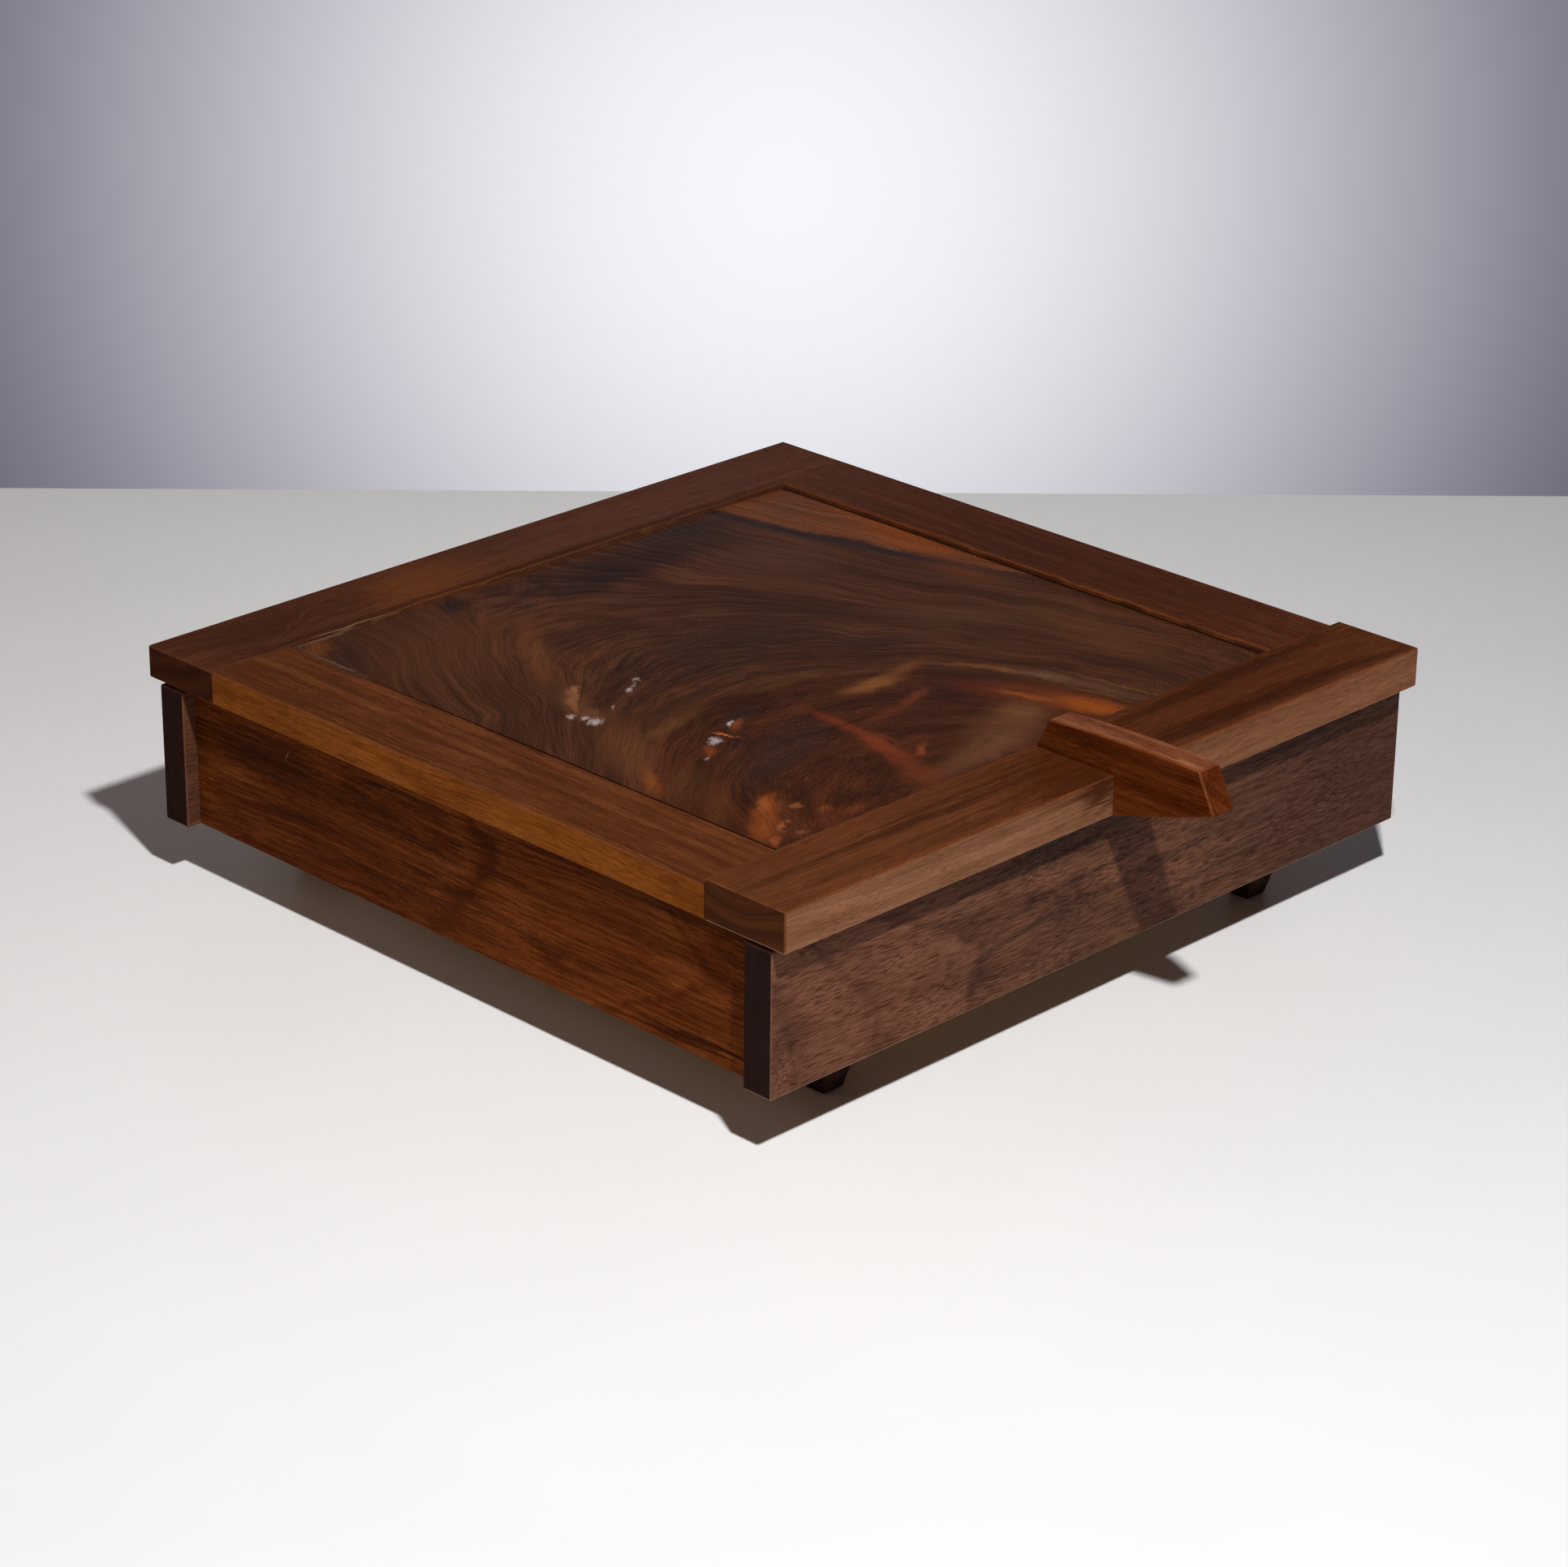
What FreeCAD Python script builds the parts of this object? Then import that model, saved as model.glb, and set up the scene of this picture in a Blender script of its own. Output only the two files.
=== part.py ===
import FreeCAD, Part
import os
import re

import Sketcher
from FreeCAD import Vector

# A low square box in walnut, raised on four tapered feet, with a framed lid that opens on two
# butt hinges and carries a mirror on its underside. A bar notched over the lid's front rail is
# the finger pull. The frame has +X to the right, +Y to the back and +Z up, and its origin lies
# under the middle of the whole outline, finger pull included, on the surface the box stands on.

doc = FreeCAD.newDocument("mirror_box")

# Driving dimensions in millimetres: alias, value, meaning
SIZES = (
    # lid frame
    ("lid_width", "457", "length of the front and back rails"),
    ("lid_depth", "455", "front rail's face to back rail's edge"),
    ("frame_thickness", "17.3", "stiles and back rail"),
    ("front_rail_thickness", "21", "front rail, proud of the rest on top"),
    ("rail_width", "51.4", "front and back rails"),
    ("stile_width", "50.8", "side members between the rails"),
    ("tenon_length", "28", "stile's tenon into a rail"),
    ("tenon_shoulder", "9", "outer edge of a stile to its tenon"),
    ("tenon_end_gap", "0.3", "glue room past a tenon's end"),
    ("groove_depth", "7", "panel groove in the frame's inner edges"),
    ("groove_height", "4.6", "panel groove and tenon, top to bottom"),
    ("groove_lip", "2.2", "wood between panel groove and mirror rabbet"),
    ("frame_easing", "0.7", "flats on the frame's arrises"),
    # lid panel
    ("tongue_length", "6", "panel tongue in its groove"),
    ("tongue_fit", "0.05", "play above and below a tongue or tenon"),
    ("panel_side_gap", "1", "panel's shoulder to a stile"),
    ("panel_end_gap", "0.6", "panel's shoulder to a rail"),
    ("panel_back_gap", "0.8", "panel's underside to the mirror's backing"),
    ("panel_recess_left", "0.4", "panel's face below the left stile"),
    ("panel_recess_right", "1.9", "panel's face below the right stile"),
    ("panel_easing", "0.5", "flats on the panel's upper arrises"),
    # mirror and the beads that hold it
    ("glass_thickness", "3", "mirror glass"),
    ("backing_thickness", "1.2", "card behind the glass"),
    ("glass_ledge", "7", "mirror rabbet past the frame's inner edge"),
    ("glass_clearance", "0.5", "glass edge to its rabbet"),
    ("glass_easing", "0.3", "seamed edge of the glass"),
    ("bead_width", "14", "bead rabbet past the frame's inner edge"),
    ("bead_thickness", "3", "bead, top to bottom"),
    ("bead_inset", "0.2", "bead's face above the lid's underside"),
    ("bead_clearance", "0.1", "bead's outer edge to its rabbet"),
    ("bead_chamfer", "1", "bead's inner arris beside the mirror"),
    ("bead_screw_edge", "3.5", "screw's centre to the bead rabbet's wall"),
    ("bead_screw_pitch", "130", "spacing of the screws along a bead"),
    # finger pull
    ("handle_width", "15", "bar across the rail, side to side"),
    ("handle_reach", "61.58", "tip beyond the front rail's face"),
    ("handle_seat", "49.6", "foot of the inner end behind the rail's face"),
    ("handle_rise", "16", "inner end above the rail"),
    ("handle_crown_rise", "18.3", "highest part above the rail"),
    ("handle_tip_rise", "17.8", "outer end's upper edge above the rail"),
    ("handle_tip_lift", "18.5", "outer end's lower edge above the rail's foot"),
    ("handle_inner_lean", "7.6", "lean of the inner end"),
    ("handle_outer_lean", "10.4", "lean of the outer end"),
    ("handle_belly", "0.6", "bow of the rising underside"),
    ("handle_easing", "0.8", "chamfers on the bar's arrises"),
    ("handle_screw_first", "12", "first screw behind the rail's face"),
    ("handle_screw_pitch", "18", "spacing of the two screws"),
    # box
    ("lid_gap", "2.2", "lid's underside above the boards"),
    ("lid_front_overhang", "8.8", "lid past the front board's face"),
    ("lid_back_overhang", "7.3", "lid past the back board's face"),
    ("lid_end_overhang", "0.9", "lid past the ends of front and back boards"),
    ("board_thickness", "18", "all four boards"),
    ("board_height", "74.3", "all four boards"),
    ("board_run_past", "8", "front and back boards past the side boards"),
    ("board_easing", "0.7", "flats on the boards' arrises"),
    ("housing_depth", "7", "groove in front and back boards for a side board"),
    ("housing_width", "6", "tongue of a side board"),
    ("housing_stop", "10", "wood above the housing, up to the board's top"),
    ("housing_gap", "0.3", "tongue's end to the housing's floor"),
    ("bottom_thickness", "6", "bottom panel"),
    ("bottom_rise", "7", "bottom panel's underside above the boards' edge"),
    ("bottom_groove", "6", "depth of the groove for the bottom panel"),
    ("bottom_gap", "0.5", "bottom panel's edge to the groove's floor"),
    ("bottom_fit", "0.05", "play above and below the bottom panel"),
    ("lining_thickness", "1.5", "felt over the bottom panel"),
    ("lining_margin", "0.3", "felt's edge to a board"),
    ("bumper_radius", "4.5", "felt disc under the lid"),
    ("bumper_relief", "0.1", "disc's face to the closed lid"),
    ("bumper_inset", "30", "disc's centre from the board's end"),
    # feet
    ("foot_clearance", "31.1", "boards' lower edge above the ground"),
    ("foot_sole", "13.2", "side of the square sole"),
    ("foot_head", "31.5", "side of the square top"),
    ("foot_easing", "0.8", "flats on the foot's arrises"),
    ("foot_inset_end", "71.7", "foot's centre from the boards' ends"),
    ("foot_inset_face", "36", "foot's centre from front or back face"),
    # hinges
    ("hinge_length", "50.8", "leaf along the board"),
    ("hinge_inset", "95", "hinge's centre from the boards' ends"),
    ("leaf_width", "13", "barrel's axis to the leaf's edge"),
    ("leaf_thickness", "1.2", "both leaves"),
    ("knuckle_relief", "0.15", "barrel to the mortise's floor"),
    ("knuckle_play", "0.2", "end play between knuckles"),
    ("leaf_clearance", "0.35", "leaf's notch to the other leaf's knuckle"),
    ("mortise_clearance", "0.1", "leaf's edges to its mortise"),
    ("barrel_clearance", "0.6", "barrel to the back of the lid's mortise"),
    ("hinge_pin_radius", "1", "hinge pin"),
    ("hinge_pin_play", "0.04", "pin in the lid leaf's knuckles"),
    ("hinge_pin_seat", "0.01", "pin in the body leaf's knuckles"),
    ("leaf_screw_pitch", "17", "spacing of the screws in a leaf"),
    ("leaf_screw_line", "8", "screws from the barrel's axis"),
    # screws, whose heads are half as thick as their radius
    ("screw_fit", "0.05", "screw to the sides of its hole"),
    ("foot_screw_head", "4", "head radius"),
    ("foot_screw_shank", "2", "shank radius"),
    ("foot_screw_length", "30", "length under the face"),
    ("handle_screw_head", "3.8", "head radius"),
    ("handle_screw_shank", "2", "shank radius"),
    ("handle_screw_length", "32", "length under the face"),
    ("leaf_screw_head", "2.1", "head radius"),
    ("leaf_screw_shank", "1.2", "shank radius"),
    ("leaf_screw_length", "12", "length under the face"),
    ("bead_screw_head", "2.1", "head radius"),
    ("bead_screw_shank", "1", "shank radius"),
    ("bead_screw_length", "9", "length under the face"),
)
KNUCKLES = 5
SCREWS_PER_LEAF = 3
SCREWS_PER_BEAD = 3
SCREW_SIDES = 12

sizes = doc.addObject("Spreadsheet::Sheet", "sizes")
for row, (alias, value, meaning) in enumerate(SIZES, start=1):
    sizes.set(f"A{row}", alias)
    sizes.set(f"B{row}", value)
    sizes.setAlias(f"B{row}", alias)
    sizes.set(f"C{row}", meaning)
doc.recompute()

# Places worked out from the driving dimensions. The chamfer on the finger pull's tip takes
# off a little of its reach, which counts for the origin under the middle of the outline.
LID_END = "(lid_width / 2)"
TIP_LEAN = ("atan((front_rail_thickness + handle_tip_rise - handle_tip_lift)"
            " / handle_outer_lean)")
TIP_LOSS = f"(handle_easing * cos({TIP_LEAN}))"
LID_FRONT = f"((handle_reach - {TIP_LOSS} - lid_depth) / 2)"
LID_BACK = f"({LID_FRONT} + lid_depth)"
BOARD_END = f"({LID_END} - lid_end_overhang)"
BOARD_FRONT = f"({LID_FRONT} + lid_front_overhang)"
BOARD_BACK = f"({LID_BACK} - lid_back_overhang)"
SIDE_OUTER = f"({BOARD_END} - board_run_past)"
SIDE_INNER = f"({SIDE_OUTER} - board_thickness)"
FRONT_INNER = f"({BOARD_FRONT} + board_thickness)"
BACK_INNER = f"({BOARD_BACK} - board_thickness)"
BOARD_LOW = "foot_clearance"
BOARD_TOP = "(foot_clearance + board_height)"
BOTTOM_LOW = "(foot_clearance + bottom_rise)"
BOTTOM_TOP = f"({BOTTOM_LOW} + bottom_thickness)"
LID_LOW = f"({BOARD_TOP} + lid_gap)"
FRAME_TOP = f"({LID_LOW} + frame_thickness)"
RAIL_TOP = f"({LID_LOW} + front_rail_thickness)"
FRAME_INNER = f"({LID_END} - stile_width)"
FRONT_RAIL_INNER = f"({LID_FRONT} + rail_width)"
BACK_RAIL_INNER = f"({LID_BACK} - rail_width)"
BEAD_LOW = f"({LID_LOW} + bead_inset)"
GLASS_LOW = f"({BEAD_LOW} + bead_thickness)"
BACKING_LOW = f"({GLASS_LOW} + glass_thickness)"
RABBET_TOP = f"({BACKING_LOW} + backing_thickness)"
GROOVE_LOW = f"({RABBET_TOP} + groove_lip)"
GROOVE_TOP = f"({GROOVE_LOW} + groove_height)"
HINGE_HEIGHT = f"({BOARD_TOP} + lid_gap / 2)"
HINGE_PLACE = f"({BOARD_END} - hinge_inset)"
KNUCKLE_RADIUS = "(leaf_thickness + lid_gap / 2 - knuckle_relief)"
KNUCKLE_PITCH = f"(hinge_length / {KNUCKLES})"
HANDLE_SCREWS = (
    ("0", f"({LID_FRONT} + handle_screw_first)"),
    ("0", f"({LID_FRONT} + handle_screw_first + handle_screw_pitch)"),
)
FOOT_PLACE = f"({BOARD_END} - foot_inset_end)"
FOOT_LINES = (f"({BOARD_FRONT} + foot_inset_face)", f"({BOARD_BACK} - foot_inset_face)")
BEAD_SCREW_OUT = "(bead_width - bead_screw_edge)"

ALIASES = {alias for alias, _, _ in SIZES}
pieces = []


def bind(formula):
    """Point each alias in a formula at its cell."""
    return re.sub(r"[a-z_]+", lambda word: "sizes." + word.group()
                  if word.group() in ALIASES else word.group(), formula)


def value_of(formula):
    return float(sizes.evalExpression(bind(formula)))


def piece(name):
    """A separate part with a name of its own."""
    body = doc.addObject("PartDesign::Body", name)
    body.Label = name
    body.AllowCompound = True
    pieces.append(body)
    return body


def stand(body, x, y, z):
    """Place a part that is drawn round its own origin."""
    for axis, formula in zip("xyz", (x, y, z)):
        body.setExpression(f"Placement.Base.{axis}", bind(formula))


def side_span(side, near, far):
    """Low and high ends of a stretch that is mirrored from right to left."""
    return (near, far) if side > 0 else (f"-{far}", f"-{near}")


def body_plane(body, role):
    """One of the part's own planes."""
    return next(each for each in body.Origin.OriginFeatures if each.Role == role)


def place_sketch(body, name, plane, shift):
    """A sketch on one of the part's own planes, shifted along the plane's local axes."""
    sketch = body.newObject("Sketcher::SketchObject", name)
    sketch.AttachmentSupport = [(body_plane(body, plane), "")]
    sketch.MapMode = "FlatFace"
    for axis, formula in zip("xyz", shift):
        sketch.setExpression(f"AttachmentOffset.Base.{axis}", bind(formula))
    return sketch


def held(kind, geometry, end, formula):
    """A constraint that keeps a point of the sketch, or a circle's radius, at a formula."""
    where = (geometry,) if kind == "Radius" else (-1, 1, geometry, end)
    constraint = Sketcher.Constraint(kind, *where, value_of(formula))
    constraint.Name = f"{kind}_{geometry}_{end}"
    return constraint, formula


def constrain(sketch, plain, driven):
    """Add the plain constraints, and those whose values follow formulas."""
    sketch.addConstraint(plain + [constraint for constraint, _ in driven])
    for constraint, formula in driven:
        sketch.setExpression(f"Constraints.{constraint.Name}", bind(formula))


def outline(sketch, corners, bows=None):
    """A closed outline through corners, each held by formulas. A bow turns the side that
    starts at that corner into an arc through the point given."""
    bows = bows or {}
    first = sketch.GeometryCount
    points = [Vector(value_of(across), value_of(up), 0) for across, up in corners]
    ends = []
    plain = []
    driven = []
    for index, start in enumerate(points):
        finish = points[(index + 1) % len(points)]
        if index in bows:
            middle = Vector(*(value_of(each) for each in bows[index]), 0)
            sketch.addGeometry(Part.Arc(start, middle, finish), False)
            turns_left = (middle - start).cross(finish - middle).z > 0
            ends.append((1, 2) if turns_left else (2, 1))
        else:
            sketch.addGeometry(Part.LineSegment(start, finish), False)
            ends.append((1, 2))
    for index, (across, up) in enumerate(corners):
        following = (index + 1) % len(corners)
        plain.append(Sketcher.Constraint(
            "Coincident", first + index, ends[index][1], first + following, ends[following][0]))
        driven.append(held("DistanceX", first + index, ends[index][0], across))
        driven.append(held("DistanceY", first + index, ends[index][0], up))
    for index, (across, up) in bows.items():
        spot = sketch.addGeometry(Part.Point(Vector(value_of(across), value_of(up), 0)), True)
        driven.append(held("DistanceX", spot, 1, across))
        driven.append(held("DistanceY", spot, 1, up))
        plain.append(Sketcher.Constraint("PointOnObject", spot, 1, first + index))
    constrain(sketch, plain, driven)
    return sketch


def disc(sketch, radius):
    """A circle round the sketch's origin."""
    circle = sketch.addGeometry(
        Part.Circle(Vector(0, 0, 0), Vector(0, 0, 1), value_of(radius)), False)
    constrain(sketch, [Sketcher.Constraint("Coincident", circle, 3, -1, 1)],
              [held("Radius", circle, 0, radius)])
    return sketch


def settle(body, feature, before, cut):
    """Recompute, and stop if a cut took nothing away."""
    doc.recompute()
    if cut and not body.Shape.Volume < before:
        raise ValueError(f"{feature.Name} cuts nothing")
    return feature


def extrude(body, sketch, length, cut=False, way=1):
    """Pad or pocket along the sketch's normal, or against it where way is -1."""
    before = body.Shape.Volume if cut else 0
    kind = "PartDesign::Pocket" if cut else "PartDesign::Pad"
    feature = body.newObject(kind, sketch.Name + ("_pocket" if cut else "_pad"))
    feature.Profile = sketch
    feature.setExpression("Length", bind(length))
    feature.Reversed = (way > 0) == cut
    return settle(body, feature, before, cut)


def block(body, name, x, y, z, cut=False):
    """A square-edged solid or cut between low and high formulas along each axis."""
    sketch = place_sketch(body, name, "XY_Plane", ("0", "0", z[0]))
    outline(sketch, ((x[0], y[0]), (x[1], y[0]), (x[1], y[1]), (x[0], y[1])))
    return extrude(body, sketch, f"{z[1]} - {z[0]}", cut)


def edges_where(feature, wanted):
    """Names of a feature's edges whose middle and direction pass the test."""
    names = []
    for index, edge in enumerate(feature.Shape.Edges, start=1):
        middle = edge.valueAt((edge.FirstParameter + edge.LastParameter) / 2)
        if wanted(middle, edge.tangentAt(edge.FirstParameter)):
            names.append(f"Edge{index}")
    return names


def ease(body, feature, size, wanted=None):
    """Chamfer a feature's arrises: those that pass the test, or all of them."""
    easing = body.newObject("PartDesign::Chamfer", feature.Name + "_eased")
    easing.Base = (feature, edges_where(feature, wanted) if wanted else [""])
    easing.UseAllEdges = wanted is None
    easing.setExpression("Size", bind(size))
    doc.recompute()
    return easing


def lies_at(coordinate, formula):
    return abs(coordinate - value_of(formula)) < 0.01


def prism(solid, radius, spot, low, height, attach=""):
    """Shape a many-sided prism on a spot, its flats at the radius given, from a low level."""
    solid.Polygon = SCREW_SIDES
    solid.setExpression("Circumradius", bind(f"{radius} / cos(180 / {SCREW_SIDES})"))
    solid.setExpression("Height", bind(height))
    for axis, formula in zip("xyz", (*spot, low)):
        solid.setExpression(f"{attach or 'Placement'}.Base.{axis}", bind(formula))
    return solid


def screw_parts(kind, level, way, fit="0"):
    """Radius, low level and height of a screw's head and of its shank."""
    head, shank, length = f"{kind}_screw_head", f"{kind}_screw_shank", f"{kind}_screw_length"
    deep, long = f"({head} / 2 + {fit})", f"({length} + {fit})"
    lows = (level, level) if way > 0 else (f"({level} - {deep})", f"({level} - {long})")
    return (f"({head} + {fit})", lows[0], deep), (f"({shank} + {fit})", lows[1], long)


def screws(name, kind, spots, level, way):
    """Flat-headed screws, their heads let in flush at a level. They point up where way is 1
    and down where way is -1."""
    solids = []
    for index, spot in enumerate(spots):
        for label, (radius, low, height) in zip(("head", "shank"), screw_parts(kind, level, way)):
            solid = doc.addObject("Part::Prism", f"{name}_{label}_{index}")
            solids.append(prism(solid, radius, spot, low, height))
    group = doc.addObject("Part::MultiFuse", name)
    group.Label = name
    group.Shapes = solids
    pieces.append(group)


def screw_holes(body, name, kind, spots, level, way, sunk=False):
    """Holes for those screws in a piece that they pass or end in, counterbored for the heads
    where the piece carries them."""
    head, shank = screw_parts(kind, level, way, fit="screw_fit")
    for index, spot in enumerate(spots):
        for label, (radius, low, height) in (("shank", shank), ("head", head)):
            if label == "shank" or sunk:
                hole = body.newObject("PartDesign::SubtractivePrism", f"{name}_{label}_{index}")
                hole.AttachmentSupport = [(body_plane(body, "XY_Plane"), "")]
                hole.MapMode = "FlatFace"
                before = body.Shape.Volume
                settle(body, prism(hole, radius, spot, low, height, "AttachmentOffset"), before, True)


# Front and back boards: full width, with a stopped housing near each end for the side
# boards and a stopped groove for the bottom panel
def end_board(name, outer, inner, into, y):
    body = piece(name)
    board = block(body, name + "_blank", (f"-{BOARD_END}", BOARD_END), y, (BOARD_LOW, BOARD_TOP))
    ease(body, board, "board_easing")
    middle = f"({SIDE_OUTER} - board_thickness / 2)"
    housing = (inner, f"({inner} {into} housing_depth)")
    housing = housing if into == "+" else housing[::-1]
    for side, label in ((-1, "left"), (1, "right")):
        across = side_span(side, f"({middle} - housing_width / 2)", f"({middle} + housing_width / 2)")
        block(body, f"{name}_housing_{label}", across, housing,
              (BOARD_LOW, f"({BOARD_TOP} - housing_stop)"), cut=True)
    groove = (inner, f"({inner} {into} bottom_groove)")
    groove = groove if into == "+" else groove[::-1]
    reach = f"({SIDE_INNER} + bottom_groove)"
    block(body, name + "_groove", (f"-{reach}", reach), groove,
          (f"({BOTTOM_LOW} - bottom_fit)", f"({BOTTOM_TOP} + bottom_fit)"), cut=True)
    return body


end_board("front_board", BOARD_FRONT, FRONT_INNER, "-", (BOARD_FRONT, FRONT_INNER))
back_board = end_board("back_board", BOARD_BACK, BACK_INNER, "+", (BACK_INNER, BOARD_BACK))


# Side boards: set back from the others' ends, with a tongue at each end and the bottom's groove
def side_board(name, side):
    body = piece(name)
    x = side_span(side, SIDE_INNER, SIDE_OUTER)
    board = block(body, name + "_blank", x, (FRONT_INNER, BACK_INNER), (BOARD_LOW, BOARD_TOP))
    ease(body, board, "board_easing", lambda middle, way: abs(way.y) > 0.9)
    middle = f"({SIDE_OUTER} - board_thickness / 2)"
    across = side_span(side, f"({middle} - housing_width / 2 + tongue_fit)",
                       f"({middle} + housing_width / 2 - tongue_fit)")
    reach = "(housing_depth - housing_gap)"
    tongue_top = f"({BOARD_TOP} - housing_stop - housing_gap)"
    for label, y in (("front", (f"({FRONT_INNER} - {reach})", FRONT_INNER)),
                     ("back", (BACK_INNER, f"({BACK_INNER} + {reach})"))):
        block(body, f"{name}_tongue_{label}", across, y, (BOARD_LOW, tongue_top))
    block(body, name + "_groove", side_span(side, SIDE_INNER, f"({SIDE_INNER} + bottom_groove)"),
          (FRONT_INNER, BACK_INNER),
          (f"({BOTTOM_LOW} - bottom_fit)", f"({BOTTOM_TOP} + bottom_fit)"), cut=True)


side_board("left_side_board", -1)
side_board("right_side_board", 1)

# Bottom panel, held in the four grooves, with the holes for the foot screws
bottom = piece("bottom_panel")
bottom_reach = f"({SIDE_INNER} + bottom_groove - bottom_gap)"
block(bottom, "bottom_blank", (f"-{bottom_reach}", bottom_reach),
      (f"({FRONT_INNER} - bottom_groove + bottom_gap)", f"({BACK_INNER} + bottom_groove - bottom_gap)"),
      (BOTTOM_LOW, BOTTOM_TOP))

# Felt lining, which also covers the heads of the foot screws
lining = piece("bottom_lining")
lining_reach = f"({SIDE_INNER} - lining_margin)"
block(lining, "lining_sheet", (f"-{lining_reach}", lining_reach),
      (f"({FRONT_INNER} + lining_margin)", f"({BACK_INNER} - lining_margin)"),
      (BOTTOM_TOP, f"({BOTTOM_TOP} + lining_thickness)"))

# Feet: four-sided tapers drawn round the foot's own middle, with the small end on the ground.
# Each is drawn up to the bottom panel by one screw from inside.
foot_spots = []
for row, foot_line in zip(("front", "back"), FOOT_LINES):
    for hand, foot_place in (("left", f"-{FOOT_PLACE}"), ("right", FOOT_PLACE)):
        name = f"foot_{row}_{hand}"
        foot = piece(name)
        sole, head = "(foot_sole / 2)", "(foot_head / 2)"
        section = place_sketch(foot, name + "_section", "XZ_Plane", ("0", "0", f"-{head}"))
        outline(section, ((f"-{sole}", "0"), (sole, "0"), (head, BOTTOM_LOW), (f"-{head}", BOTTOM_LOW)))
        taper = extrude(foot, section, "foot_head")
        for label, sign in (("front", "-"), ("back", "")):
            wedge = place_sketch(foot, f"{name}_{label}_wedge", "YZ_Plane", ("0", "0", f"-{head}"))
            outline(wedge, ((f"{sign}{sole}", "0"), (f"{sign}{head}", "0"),
                            (f"{sign}{head}", BOTTOM_LOW)))
            taper = extrude(foot, wedge, "foot_head", cut=True)
        ease(foot, taper, "foot_easing", lambda middle, way: not lies_at(middle.z, BOTTOM_LOW))
        screw_holes(foot, name + "_pilot", "foot", [("0", "0")], BOTTOM_TOP, -1)
        stand(foot, foot_place, foot_line, "0")
        foot_spots.append((foot_place, foot_line))
screw_holes(bottom, "bottom_holes", "foot", foot_spots, BOTTOM_TOP, -1, sunk=True)
screws("foot_screws", "foot", foot_spots, BOTTOM_TOP, -1)

# Bumpers: felt discs on the front board that hold the lid's front at its gap
bumpers = piece("bumpers")
for side, hand in ((-1, "left"), (1, "right")):
    place = f"({BOARD_END} - bumper_inset)"
    spot = place_sketch(bumpers, f"bumper_{hand}", "XY_Plane",
                        (place if side > 0 else f"-{place}",
                         f"({BOARD_FRONT} + board_thickness / 2)", BOARD_TOP))
    disc(spot, "bumper_radius")
    extrude(bumpers, spot, "lid_gap - bumper_relief")


# Lid frame: the shared cuts. Along the inner edges run the panel's groove, the rabbet for
# glass and backing and the shallower rabbet for the beads.
def frame_cuts(body, name, x_of, y_of):
    levels = (
        ("groove", "groove_depth", (GROOVE_LOW, GROOVE_TOP)),
        ("glass_rabbet", "glass_ledge", (LID_LOW, RABBET_TOP)),
        ("bead_rabbet", "bead_width", (LID_LOW, GLASS_LOW)),
    )
    for label, depth, z in levels:
        block(body, f"{name}_{label}", x_of(depth), y_of(depth), z, cut=True)


# Rails: full width, mortised for the stiles' tenons. The front one is thicker and rises above
# the rest, and both are eased where their arrises show.
def rail(name, y, inner, into, top, wanted=None):
    body = piece(name)
    blank = block(body, name + "_blank", (f"-{LID_END}", LID_END), y, (LID_LOW, top))
    ease(body, blank, "frame_easing", wanted)

    def from_inner(depth):
        return (f"({inner} - {depth})", inner) if into < 0 else (inner, f"({inner} + {depth})")

    frame_cuts(body, name, lambda depth: (f"-({FRAME_INNER} + {depth})", f"({FRAME_INNER} + {depth})"),
               from_inner)
    for side, hand in ((-1, "left"), (1, "right")):
        across = side_span(side, f"({FRAME_INNER} + groove_depth)",
                           f"({LID_END} - tenon_shoulder + tongue_fit)")
        block(body, f"{name}_mortise_{hand}", across, from_inner("(tenon_length + tenon_end_gap)"),
              (GROOVE_LOW, GROOVE_TOP), cut=True)
    return body


front_rail = rail("lid_front_rail", (LID_FRONT, FRONT_RAIL_INNER), FRONT_RAIL_INNER, -1, RAIL_TOP)
back_rail = rail("lid_back_rail", (BACK_RAIL_INNER, LID_BACK), BACK_RAIL_INNER, 1, FRAME_TOP,
                 lambda middle, way: not lies_at(middle.y, BACK_RAIL_INNER))


# Stiles: between the rails, with a stub tenon at each end in line with the panel's groove
def stile(name, side):
    body = piece(name)
    length = (FRONT_RAIL_INNER, BACK_RAIL_INNER)
    blank = block(body, name + "_blank", side_span(side, FRAME_INNER, LID_END), length,
                  (LID_LOW, FRAME_TOP))
    low = value_of(LID_LOW)
    ease(body, blank, "frame_easing", lambda middle, way: abs(way.y) > 0.9 and
         (middle.z > low + 1 or lies_at(abs(middle.x), LID_END)))
    across = side_span(side, f"({FRAME_INNER} + groove_depth + tongue_fit)",
                       f"({LID_END} - tenon_shoulder)")
    upright = (f"({GROOVE_LOW} + tongue_fit)", f"({GROOVE_TOP} - tongue_fit)")
    for label, y in (("front", (f"({FRONT_RAIL_INNER} - tenon_length)", FRONT_RAIL_INNER)),
                     ("back", (BACK_RAIL_INNER, f"({BACK_RAIL_INNER} + tenon_length)"))):
        block(body, f"{name}_tenon_{label}", across, y, upright)
    frame_cuts(body, name, lambda depth: side_span(side, FRAME_INNER, f"({FRAME_INNER} + {depth})"),
               lambda depth: length)
    return body


left_stile = stile("lid_left_stile", -1)
right_stile = stile("lid_right_stile", 1)

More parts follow.
